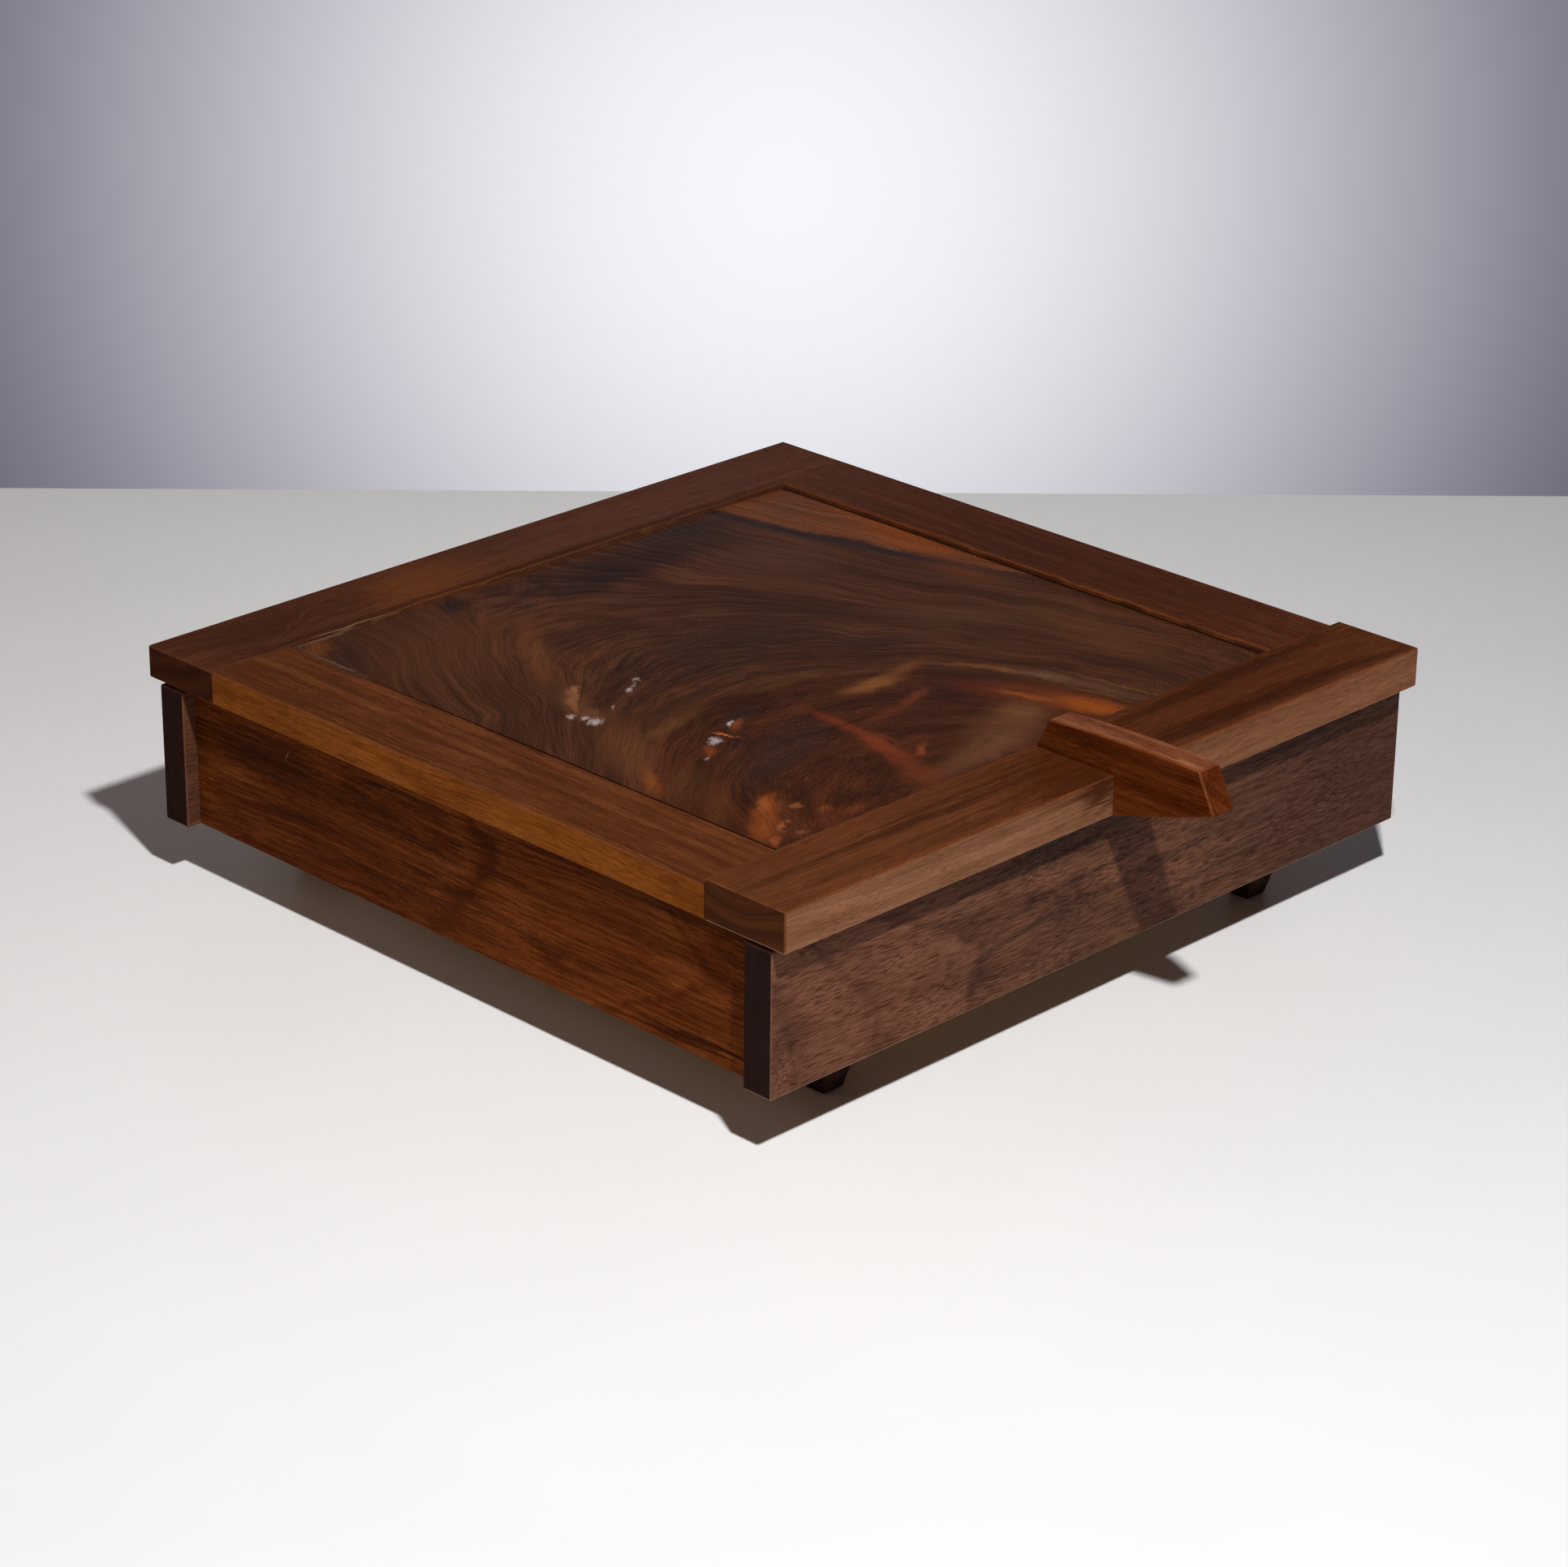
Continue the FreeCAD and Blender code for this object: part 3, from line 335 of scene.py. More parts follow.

# Where hands and cloths have rubbed the oil thin along a board's small chamfers, and which of
# the chamfers face down, for a painted highlight of light bounced up from the table
edge_wear, given, result = open_group(
    "edge_wear", [("Vector", "Vector"), ("Normal", "Vector")], ("Wear", "Painted Bounce"))
tree = edge_wear
lean_x, lean_y, lean_z = parts_of(tree, vectors(tree, "ABSOLUTE", given["Normal"]))
square = sums(tree, "MAXIMUM", lean_x, sums(tree, "MAXIMUM", lean_y, lean_z))
chamfer = spread(tree, square, 0.9, 0.8)
patchy = spread(tree, noise(tree, given["Vector"], 110.0, 3.0, 0.65), 0.3, 0.62, 0.35, 1.0)
tree.links.new(sums(tree, "MULTIPLY", chamfer, patchy), result["Wear"])
_, _, upward = parts_of(tree, given["Normal"])
tree.links.new(sums(tree, "MULTIPLY", chamfer, spread(tree, upward, -0.5, -0.6)),
               result["Painted Bounce"])

# Fine pale specks of dust in the pores, which also serve as painted glints of light on the front
# rail's top
dust_and_glints, given, result = open_group(
    "dust_and_glints", [("Vector", "Vector"), ("Amount", "Float", 0.5)], ("Dust And Glints",))
tree = dust_and_glints
grit = spread(tree, noise(tree, given["Vector"], 1400.0, 1.0), 0.70, 0.78)
drift = spread(tree, noise(tree, given["Vector"], 22.0, 2.0), 0.4, 0.7, 0.3, 1.0)
tree.links.new(sums(tree, "MULTIPLY", given["Amount"], sums(tree, "MULTIPLY", grit, drift)),
               result["Dust And Glints"])

# A soft-edged spot or streak, at a place, with its half length and half width
blot, given, result = open_group(
    "blot", [("Vector", "Vector"), ("Place", "Vector"), ("Size", "Vector"), ("Turn", "Float"),
             ("Fray", "Float"), ("Amount", "Float", 1.0)], ("Mask",))
tree = blot
away = vectors(tree, "SUBTRACT", given["Vector"], given["Place"])
away = put(tree, "ShaderNodeVectorRotate", {"Vector": away, "Angle": given["Turn"]},
           rotation_type="Z_AXIS")
away = vectors(tree, "MULTIPLY", vectors(tree, "DIVIDE", away, given["Size"]), (1, 1, 0))
away = sums(tree, "ADD", vectors(tree, "LENGTH", away, out=1), given["Fray"])
tree.links.new(sums(tree, "MULTIPLY", spread(tree, away, 1.45, 0.25), given["Amount"]),
               result["Mask"])


def marked(tree, base, at, fray, marks):
    """A colour with soft-edged marks over it: their places, half lengths, half widths, turns in
    degrees, colours and amounts."""
    for m_across, m_up, long, wide, turn, tint, amount in marks:
        mark = use_group(tree, blot, {
            "Vector": at, "Place": (m_across, m_up, 0), "Size": (long, wide, 1),
            "Turn": math.radians(turn), "Fray": fray, "Amount": amount})["Mask"]
        base = layer(tree, "MIX", mark, base, stain(*tint))
    return base


def warped(tree, at, scale, detail, rough, amount):
    """Flat coordinates that a noise pushes about, each by up to half its amount."""
    push = noise(tree, at, scale, detail, rough, sides=2, out=1)
    return vectors(tree, "ADD", at, vectors(
        tree, "MULTIPLY", vectors(tree, "SUBTRACT", push, (0.5, 0.5, 0)), amount))


def cathedral(tree, along, height, tip, slope, skew):
    """How far along a board each point's growth ring has its tip, on a sawn face."""
    off = sums(tree, "SUBTRACT", height, tip)
    bow = sums(tree, "SUBTRACT", sums(tree, "SQRT", sums(
        tree, "ADD", sums(tree, "MULTIPLY", off, off), TIP_ROUNDING)), TIP_SETBACK)
    return sums(tree, "ADD", along, blend(tree, (bow, slope), (off, skew)))


def walnut(name, dark, mid, light, turn=(0, 0, 0), shift=(0, 0, 0), ring=0.005, banding=0.35,
           streaking=0.45, streak=0.0011, reach=0.3, pores=0.6,
           line_tone=(0.40, 0.34, 0.31, 1), ends=(), end_tone=(38, 21, 16), face=None,
           plane=None, marks=(), arches=(), wear=0.4, rub=None, under=0.0, specks=0.1,
           rough=0.5, sheen=0.01):
    """Oiled walnut. turn and shift put the board's grain along x, with the pith at nought.
    ends are the axes whose faces are end grain, and face is an axis whose faces have shades of
    their own. marks and arches are in millimetres on a plane of two axes, the arches as tip
    height, slope, skew, and levels at distances along the board."""
    made, tree, spot = fresh_material(name)
    facing = put(tree, "ShaderNodeTexCoord", out=1)
    facing_parts = parts_of(tree, facing)
    along = put(tree, "ShaderNodeMapping",
                {"Vector": spot, "Rotation": turn, "Location": shift})
    grain = use_group(tree, board_grain, {"Vector": along, "Ring Width": ring,
                                          "Streak Width": streak})
    value = sums(tree, "DIVIDE", blend(
        tree, (grain["Rings"], banding), (grain["Streaks"], streaking),
        (grain["Mottle"], MOTTLING)), banding + streaking + MOTTLING)
    if plane:
        flat = put(tree, "ShaderNodeCombineXYZ", {
            index: vectors(tree, "DOT_PRODUCT", spot, way, out=1)
            for index, way in enumerate(plane)})
        flat = warped(tree, vectors(tree, "MULTIPLY", flat, (1000, 1000, 1000)), 0.045, 3.0, 0.5,
                      (16, 5, 0))
        flat_along, flat_up, _ = parts_of(tree, flat)
    for tip, slope, skew, low, high, *levels in arches:
        ringed = cathedral(tree, flat_along, flat_up, tip, slope, skew)
        ringed = tones(tree, spread(tree, ringed, low, high, smooth=False),
                       *[(at, grey(level)) for at, level in levels])
        value = sums(tree, "ADD", value, sums(tree, "SUBTRACT", ringed, 0.5))

    def toned(shades):
        """A dark, a middle and a light shade, as the grain goes."""
        return tones(tree, value, *[(0.5 + reach * (step - 1), stain(*shade))
                                    for step, shade in enumerate(shades)])

    colour = toned((dark, mid, light))
    if face:
        toward = spread(tree, sums(tree, "ABSOLUTE", facing_parts[face[0]]), 0.8, 0.9)
        colour = layer(tree, "MIX", toward, colour, toned(face[1:]))
    if marks:
        fray = sums(tree, "MULTIPLY", sums(tree, "SUBTRACT", grain["Streaks"], 0.5), 0.8)
        colour = marked(tree, colour, flat, fray, marks)
    colour = layer(tree, "MULTIPLY", sums(tree, "MULTIPLY", grain["Late Wood"], 0.25), colour,
                   (0.50, 0.43, 0.40, 1))
    colour = layer(tree, "MULTIPLY", sums(tree, "MULTIPLY", grain["Pores"], pores), colour,
                   line_tone)
    for axis in ends:
        cut = spread(tree, sums(tree, "ABSOLUTE", facing_parts[axis]), 0.8, 0.95)
        colour = layer(tree, "MIX", cut, colour, layer(
            tree, "MIX", grain["Rings"], stain(*[c * 0.86 for c in end_tone]),
            stain(*[c * 1.12 for c in end_tone])))
    arris = use_group(tree, edge_wear, {"Vector": spot, "Normal": facing})
    colour = layer(tree, "MIX", sums(tree, "MULTIPLY", arris["Wear"], wear), colour,
                   stain(*(rub or light)))
    # Painted highlight: chamfers that face down are lightened by the amount under, standing in for
    # light bounced up from the table
    colour = layer(tree, "MIX", sums(tree, "MULTIPLY", arris["Painted Bounce"], under), colour,
                   stain(196, 160, 130))
    # Pale specks: dust in the pores, and on the front rail's top also painted glints of light
    dust_and_glint = use_group(tree, dust_and_glints, {"Vector": spot, "Amount": specks})["Dust And Glints"]
    colour = layer(tree, "MIX", dust_and_glint, colour, stain(168, 146, 130))
    height = sums(tree, "SUBTRACT", sums(tree, "MULTIPLY", grain["Streaks"], 0.25),
                  grain["Pores"])
    relief = put(tree, "ShaderNodeBump", {"Height": height, "Strength": 0.3,
                                          "Distance": 0.0001})
    dull = sums(tree, "ADD", blend(tree, (grain["Pores"], 0.2), (grain["Mottle"], 0.1)),
                rough - 0.05)
    surfaced(tree, {"Base Color": colour, "Roughness": dull, "Normal": relief,
                    "Specular IOR Level": sheen})
    return made


def finish_with(material, *names):
    """Every material slot of these nodes gets one material."""
    for name in names:
        mesh = nodes[name].data
        if not mesh.materials:
            mesh.materials.append(material)
        for index in range(len(mesh.materials)):
            mesh.materials[index] = material


# Along the board from its middle, and up from the table
front_marks = [(-165, 62, 60, 44, 0, (132, 82, 60), 0.35),
               (-45, 99.5, 32, 1.2, -5, (38, 25, 21), 0.9),
               (-12, 95.5, 42, 1.8, -6, (40, 26, 22), 0.9),
               (-36, 94, 18, 0.9, -6, (34, 22, 19), 0.85),
               (-60, 96, 44, 4, -5, (62, 40, 31), 0.6),
               (152, 99, 66, 2.2, -1, (42, 28, 24), 0.85),
               (158, 93.5, 40, 1.0, -2, (44, 29, 25), 0.75),
               (40, 66, 90, 2.4, -3, (62, 38, 29), 0.5), (80, 50, 70, 1.6, -2, (60, 37, 29), 0.5),
               (-10, 76, 46, 1.6, -4, (56, 35, 27), 0.5),
               (-60, 60, 40, 2.2, -6, (58, 36, 27), 0.55),
               (205, 66, 18, 12, 0, (60, 41, 34), 0.35), (185, 68, 90, 60, 0, (78, 48, 36), 0.6),
               (-20, 96, 80, 12, 0, (74, 46, 34), 0.5),
               (30, 42, 120, 1.4, -1, (64, 40, 31), 0.45)]
finish_with(walnut("front_board_walnut", (82, 51, 37), (104, 67, 49), (124, 82, 62),
                   turn=(0, 0, 0.02), shift=(0, 0.315, -0.066), ring=0.0048, pores=0.95,
                   line_tone=(0.36, 0.30, 0.27, 1), ends=(0,), end_tone=(30, 9, 3),
                   plane=((1, 0, 0), (0, 0, 1)), marks=front_marks,
                   arches=((57, 0.5, 0.45, -240, -140, (0, 0.44), (0.22, 0.52), (0.285, 0.26),
                            (0.36, 0.5), (0.5, 0.66), (0.72, 0.6), (0.79, 0.2), (0.86, 0.44),
                            (1, 0.5)),
                           (65, 1.35, 0.78, -135, -60, (0, 0.5), (0.3, 0.62), (0.52, 0.56),
                            (0.6, 0.16), (0.76, 0.4), (1, 0.5))),
                   rub=(124, 90, 72), under=0.6, rough=0.45, sheen=0.05), "front_board")
finish_with(walnut("back_board_walnut", (80, 50, 36), (98, 63, 46), (116, 77, 58),
                   turn=(0, 0, 0.03), shift=(0, -0.16, -0.09), ring=0.006, pores=0.75,
                   ends=(0,), plane=((1, 0, 0), (0, 0, 1)),
                   arches=((60, 1.2, 0.2, -200, 240, (0, 0.4), (0.2, 0.62), (0.3, 0.4),
                            (0.34, 0.6), (0.6, 0.5), (0.66, 0.4), (0.7, 0.55), (1, 0.5)),)),
            "back_board")


# Side boards
# Walnut from another, redder plank, of the same thickness. Tongues on their ends fit housings in
# the front and back boards, a little way in from the ends of those.
ALONG_Y = math.radians(-90)

# Marks along the side boards from the middle and up from the table: figure, and in the second a
# painted shadow of the lid along the boards' top
side_figure_and_lid_shade = [(46, 41, 30, 11, 0, (96, 45, 16), 0.6), (-120, 102, 120, 6, 0, (46, 20, 8), 0.5),
              (130, 66, 130, 60, 0, (60, 26, 9), 0.35), (190, 84, 50, 9, 0, (54, 23, 7), 0.65),
              (150, 62, 60, 4, 2, (58, 26, 8), 0.5), (-131, 39, 34, 3.5, 3, (46, 19, 6), 0.8),
              (60, 75, 36, 2.4, -3, (56, 25, 8), 0.5), (-90, 97, 60, 2.4, 2, (62, 28, 10), 0.5),
              (100, 47, 70, 3, 3, (62, 28, 9), 0.5), (92, 97, 22, 1.6, 4, (44, 19, 7), 0.7),
              (-40, 52, 60, 3, -4, (66, 30, 11), 0.45), (20, 62, 26, 2.4, 12, (48, 20, 6), 0.55),
              (12, 94, 16, 6, 20, (60, 26, 9), 0.5), (36, 66, 40, 2.6, 14, (56, 25, 9), 0.45),
              (162.5, 91, 2.2, 0.4, 70, (150, 112, 84), 0.8),
              (64, 74, 1.3, 0.35, 60, (146, 106, 76), 0.8)]
for name, from_pith in (("left_side_board", 0.29), ("right_side_board", -0.12)):
    finish_with(walnut(f"{name}_walnut", (86, 39, 12), (110, 54, 20), (128, 68, 29),
                       turn=(0, 0, ALONG_Y + 0.02), shift=(0, from_pith, -0.06), ring=0.0055,
                       streaking=0.6, streak=0.0016, reach=0.2, pores=0.65, ends=(1,),
                       plane=((0, 1, 0), (0, 0, 1)), marks=side_figure_and_lid_shade, rub=(130, 74, 38),
                       arches=((88.5, -1.6, -0.6, -20, 60, (0, 0.5), (0.25, 0.46), (0.34, 0.16),
                                (0.43, 0.36), (0.55, 0.60), (0.72, 0.44), (1, 0.5)),
                               (72, -1.7, 0.35, -165, -100, (0, 0.5), (0.32, 0.48), (0.4, 0.34),
                                (0.5, 0.56), (1, 0.5)))), name)


# Feet
# Small tapered feet of nearly black wood, one under each corner. A screw from inside the box
# holds each of them, through the bottom panel.
finish_with(walnut("foot_wood", (26, 10, 7), (42, 18, 12), (60, 30, 20),
                   turn=(0, math.radians(90), 0), shift=(0, 0.03, 0.01), ring=0.003, wear=0.6,
                   sheen=0.1),
            "foot_front_left", "foot_front_right", "foot_back_left", "foot_back_right")


# Bottom panel
# A thin plain panel of pale wood, loose in a groove that runs round the inside of the four
# boards.
finish_with(walnut("bottom_wood", (150, 112, 76), (176, 138, 98), (196, 160, 118),
                   turn=(0, 0, 0.02), shift=(0, 0.3, -0.02), ring=0.004, pores=0.2, rough=0.6),
            "bottom_panel")


# Bottom lining
# Wool felt laid on the bottom panel, where it also hides the heads of the foot screws. The two
# bumpers that the lid's front comes down on are discs of a darker felt.
def felt(name, deep, raised):
    """Pressed wool: short fibres in all directions and a soft nap."""
    made, tree, spot = fresh_material(name)
    fibre = put(tree, "ShaderNodeTexNoise", {"Vector": spot, "Scale": 900.0, "Detail": 4.0,
                                             "Roughness": 0.75, "Distortion": 1.2})
    value = blend(tree, (fibre, 0.7), (noise(tree, spot, 35.0, 3.0), 0.3))
    relief = put(tree, "ShaderNodeBump", {"Height": fibre, "Strength": 0.6,
                                          "Distance": 0.0003})
    surfaced(tree, {"Base Color": tones(tree, value, (0.3, stain(*deep)),
                                        (0.7, stain(*raised))),
                    "Roughness": 0.95, "Normal": relief, "Specular IOR Level": 0.1,
                    "Sheen Weight": 0.4, "Sheen Roughness": 0.5})
    return made


finish_with(felt("lining_felt", (34, 26, 24), (62, 50, 46)), "bottom_lining")
finish_with(felt("bumper_felt", (24, 20, 19), (46, 40, 38)), "bumpers")


# Hinges
# Two butt hinges of drawn brass with five knuckles each, dulled by handling. Their leaves are let
# into the back board and the lid, and their pins are turned.
def metal(name, dark, bright, rough, lines=(1, 1, 1)):
    """Drawn or turned metal with fine lines and dull patches."""
    made, tree, spot = fresh_material(name)
    score = noise(tree, vectors(tree, "MULTIPLY", spot, lines), 1500.0, 2.0)
    patch = noise(tree, spot, 120.0, 4.0, 0.7)
    relief = put(tree, "ShaderNodeBump", {"Height": score, "Strength": 0.2,
                                          "Distance": 0.00005})
    surfaced(tree, {"Base Color": tones(tree, patch, (0.32, stain(*dark)),
                                        (0.66, stain(*bright))),
                    "Metallic": 1.0, "Normal": relief,
                    "Roughness": sums(tree, "ADD", rough, sums(tree, "MULTIPLY", patch, 0.25))})
    return made


finish_with(metal("hinge_brass", (150, 112, 52), (206, 170, 98), 0.22, (0.05, 1, 1)),
            "hinge_body_leaf_left", "hinge_body_leaf_right", "hinge_lid_leaf_left",
            "hinge_lid_leaf_right", "hinge_pin_left", "hinge_pin_right")


# Lid frame
# Walnut rails right across at front and back, with the two stiles tenoned between them. The
# front rail is thicker and stands proud, with its hard front arris rubbed to orange.

# Along the front rail from its middle, and over its top and down its face from the lid's middle
rail_marks = [(-110, 40, 130, 4, -1, (54, 25, 11), 0.7), (-60, 33, 90, 2, 0, (46, 21, 9), 0.6),
              (-150, 24, 110, 3, 0, (108, 56, 28), 0.4), (-80, 53, 120, 2, 1, (62, 30, 14), 0.4),
              (-110, 66.5, 130, 1.2, 0, (120, 60, 25), 0.35),
              (-16, 70, 16, 13, 0, (58, 27, 10), 0.8), (-30, 60, 30, 5, 8, (58, 28, 12), 0.5),
              (120, 26, 110, 6, 2, (42, 22, 12), 0.8),
              (130, 40, 100, 2.6, -8, (104, 56, 28), 0.5),
              (90, 56, 90, 7, -2, (42, 22, 12), 0.85), (175, 58, 60, 5, -8, (52, 26, 13), 0.7),
              (120, 67.4, 110, 1.1, 0, (128, 64, 26), 0.6),
              (190, 20, 40, 4, 0, (90, 50, 28), 0.4), (110, 42, 150, 40, 0, (70, 30, 10), 0.55),
              (-20, 44, 60, 30, 0, (74, 32, 11), 0.5),
              (150, 79, 110, 13, 0, (156, 100, 72), 0.35)]
# Along the back rail from its middle, and back from the lid's middle
back_rail_marks = [(-68, 230, 40, 26, 0, (122, 66, 28), 0.55),
                   (-170, 234, 60, 26, 0, (56, 30, 22), 0.5),
                   (-140, 238, 44, 1.0, -26, (104, 62, 46), 0.4),
                   (-150, 226, 40, 0.8, -22, (98, 58, 42), 0.3),
                   (120, 234, 150, 26, 0, (104, 66, 54), 0.4),
                   (10, 250, 110, 3, -1, (76, 42, 30), 0.4),
                   (90, 222, 90, 3, 1, (80, 44, 32), 0.4),
                   (0, 211.6, 240, 2.4, 0, (58, 26, 12), 0.6),
                   (-28, 207.8, 150, 0.6, 0, (134, 82, 44), 0.45),
                   (-138, 207.8, 24, 0.8, 0, (150, 116, 84), 0.55)]
finish_with(walnut("front_rail_walnut", (84, 45, 23), (96, 53, 29), (108, 61, 36),
                   turn=(0, 0, 0.015), shift=(0, 0.17, -0.19), ring=0.0045, banding=0.2,
                   streaking=0.3, pores=0.5, ends=(0,), end_tone=(72, 38, 20),
                   face=(1, (120, 79, 55), (134, 90, 64), (148, 102, 75)),
                   plane=((1, 0, 0), (0, -1, -1)), marks=rail_marks,
                   wear=0.3, rub=(130, 76, 42), under=0.7, specks=0.3), "lid_front_rail")
finish_with(walnut("back_rail_walnut", (76, 40, 24), (88, 49, 31), (100, 58, 39),
                   turn=(0, 0, 0.02), shift=(0, -0.26, -0.2), banding=0.2, streaking=0.3,
                   pores=0.4, ends=(0,), end_tone=(57, 27, 13), specks=0.3,
                   plane=((1, 0, 0), (0, 1, 0)), marks=back_rail_marks), "lid_back_rail")
finish_with(walnut("left_stile_walnut", (84, 42, 19), (99, 53, 27), (114, 64, 35),
                   turn=(0, 0, ALONG_Y + 0.01), shift=(0, 0.2, -0.2), ring=0.0045, banding=0.2,
                   streaking=0.3, reach=0.24, pores=0.55, rub=(134, 78, 38), specks=0.3,
                   face=(0, (108, 55, 15), (128, 70, 22), (148, 86, 33))), "lid_left_stile")
# The right stile's marks are along it and to the right, from the lid's middle
finish_with(walnut("right_stile_walnut", (72, 36, 19), (85, 45, 27), (97, 54, 35),
                   turn=(0, 0, ALONG_Y + 0.01), shift=(0, -0.25, -0.2), banding=0.2,
                   streaking=0.3, pores=0.4, specks=0.3, plane=((0, 1, 0), (1, 0, 0)),
                   marks=((0, 203, 130, 34, 0, (56, 26, 12), 0.4),
                          (200, 203, 50, 34, 0, (92, 52, 34), 0.45),
                          (-40, 178.2, 260, 0.7, 0, (140, 72, 28), 0.5))), "lid_right_stile")


# Lid panel
# One slab of crotch walnut, where the tree forked: its figure rises from the front edge in a
# pointed arch, with smoky heart, orange knots and a wedge of sapwood at the back right. Places on
# it are in millimetres from the lid's back left corner, to the right and to the front.
LID_CORNER = (228.5, 258.11, 0)
PANEL_PITH_RIGHT, PANEL_PITH_FRONT = 159.0, 409.0
ARCH_HEIGHT, ARCH_FADE, ARCH_SHAPE = 237.0, 159.0, 2.4
LEAN_AMOUNT, LEAN_RUN, LEAN_POWER = 0.7, 212.0, 2.5
YEAR_WIDTH, YEAR_WANDER = 3.6, 9.0
HEART_OUTSIDE, HEART_INSIDE = 152.0, 146.0
SAP_EDGE, SAP_SPREAD, SAP_START, SAP_RUN, SAP_POWER = 352.0, 50.0, 54.0, 186.0, 1.35
FIGURE = [
    # right, front, half length, half width, turn, colour, amount
    (105, 105, 50, 32, 50, (88, 52, 32), 0.50), (323, 127, 36, 20, -45, (92, 60, 48), 0.40),
    (218, 200, 80, 36, 0, (48, 31, 22), 0.65), (364, 318, 52, 15, 85, (96, 58, 34), 0.50),
    (327, 250, 42, 15, -50, (92, 57, 38), 0.40), (386, 75, 18, 14, 0, (96, 58, 42), 0.60),
    (398, 150, 70, 15, 78, (132, 66, 24), 0.75), (232, 88, 58, 11, 0, (40, 24, 22), 0.60),
    (262, 78, 90, 20, -2, (42, 26, 24), 0.75), (317, 65, 40, 11, 0, (46, 31, 31), 0.80),
    (150, 62, 13, 5, 45, (40, 29, 30), 0.80), (64, 82, 24, 8, 50, (52, 33, 26), 0.60),
    (59, 62, 13, 7, 50, (124, 70, 34), 0.50), (133, 146, 46, 7, 55, (112, 67, 38), 0.60),
    (273, 248, 30, 13, -40, (48, 31, 26), 0.65), (368, 132, 26, 4, -66, (36, 24, 24), 0.60),
    (384, 185, 34, 8, -62, (58, 36, 28), 0.55), (106, 202, 18, 8, 57, (104, 66, 42), 0.55),
    (113, 196, 10, 1.7, 54, (146, 96, 60), 0.75), (107, 201, 13, 1.6, 58, (138, 90, 54), 0.70),
    (101, 207, 12, 1.6, 63, (132, 84, 50), 0.65), (117, 191, 5, 2.6, 20, (146, 98, 64), 0.65),
    (100, 222, 9, 7, 60, (118, 72, 50), 0.60), (83, 264, 36, 12, 56, (104, 62, 34), 0.48),
    (64, 303, 18, 4, 56, (132, 70, 28), 0.60), (120, 258, 26, 5, 12, (104, 66, 36), 0.50),
    (70, 318, 26, 12, 44, (88, 53, 30), 0.42), (136, 318, 48, 15, 20, (54, 35, 28), 0.70),
    (255, 318, 34, 18, 0, (52, 27, 21), 0.80), (196, 257, 22, 4, -8, (92, 56, 32), 0.50),
    # the arch's crest, and its grey and gold right limb
    (229, 289, 19, 6.5, -4, (134, 84, 42), 0.75), (255, 285, 18, 4.5, 6, (112, 66, 36), 0.60),
    (284, 305, 22, 2.4, -54, (112, 70, 42), 0.60), (294, 326, 19, 2.6, -66, (120, 80, 50), 0.60),
    (302, 343, 13, 5.5, -72, (106, 78, 58), 0.60), (309, 371, 30, 5, -79, (94, 64, 50), 0.50),
    (318, 374, 32, 1.6, -80, (112, 76, 44), 0.50), (303, 376, 24, 1.4, -78, (110, 78, 48), 0.40),
    # the tan ground below it, and the orange beside the handle
    (238, 372, 40, 18, 20, (100, 62, 40), 0.65), (205, 385, 38, 10, 8, (104, 66, 46), 0.65),
    (256, 364, 13, 12, 25, (118, 74, 46), 0.50), (228, 364, 26, 1.1, 22, (70, 44, 30), 0.55),
    (242, 352, 22, 1.1, 24, (68, 43, 28), 0.50), (218, 377, 28, 1.0, 18, (74, 48, 33), 0.45),
    (268, 334, 24, 10, -66, (98, 44, 24), 0.50), (283, 368, 36, 16, -75, (108, 51, 23), 0.48),
    (288, 384, 22, 10, -77, (154, 76, 24), 0.74), (274, 352, 16, 3, -72, (146, 80, 36), 0.65),
    (293, 384, 22, 1.4, -78, (104, 52, 24), 0.50), (279, 372, 24, 1.0, -76, (116, 58, 24), 0.50),
    # the burr at the front left
    (75, 368, 26, 7, 38, (134, 68, 27), 0.66), (85, 357.5, 9, 4.5, 36, (156, 86, 40), 0.62),
    (62, 381, 12, 5, 42, (132, 66, 28), 0.55), (94, 369, 3.4, 3, 0, (146, 86, 44), 0.65),
    (72, 381, 7, 1.8, 42, (160, 90, 50), 0.60), (79, 379, 3, 1.4, 60, (150, 84, 50), 0.60),
    (58, 391, 6, 2.6, 35, (156, 82, 46), 0.55), (74, 392, 3.4, 2.6, 0, (156, 96, 66), 0.50),
    (101, 381, 5, 3, 30, (126, 62, 32), 0.55), (112, 390, 7, 3.4, 0, (122, 62, 32), 0.55),
    (92, 389, 26, 8, 0, (86, 42, 22), 0.50), (66, 345, 26, 7, 42, (92, 52, 26), 0.50),
    # the red vein and its branch
    (181, 315, 25, 4.2, 86, (108, 46, 25), 0.80), (176, 346, 18, 6.5, 76, (120, 52, 26), 0.80),
    (185, 340, 10, 1.8, 84, (112, 52, 28), 0.60), (181.5, 347, 5, 1.3, 80, (46, 28, 24), 0.75),
    (186, 363, 8, 2.8, 35, (138, 68, 38), 0.65), (172, 364, 14, 8, 60, (110, 51, 27), 0.60),
    (164, 386, 15, 10, 65, (108, 52, 27), 0.60), (207, 320, 24, 4.5, 4, (94, 46, 27), 0.65),
    (233, 314, 14, 3.4, 14, (112, 54, 31), 0.60),
    # dark and orange about the knot on the left
    (151, 273, 13, 5, 20, (42, 31, 28), 0.85), (124, 297, 15, 2.6, 25, (38, 27, 24), 0.75),
    (110, 294, 8, 3.4, 40, (140, 66, 34), 0.60), (130, 285, 7, 1.1, -75, (192, 102, 52), 0.85),
    (144, 279, 8, 2.6, 30, (132, 66, 40), 0.65)]
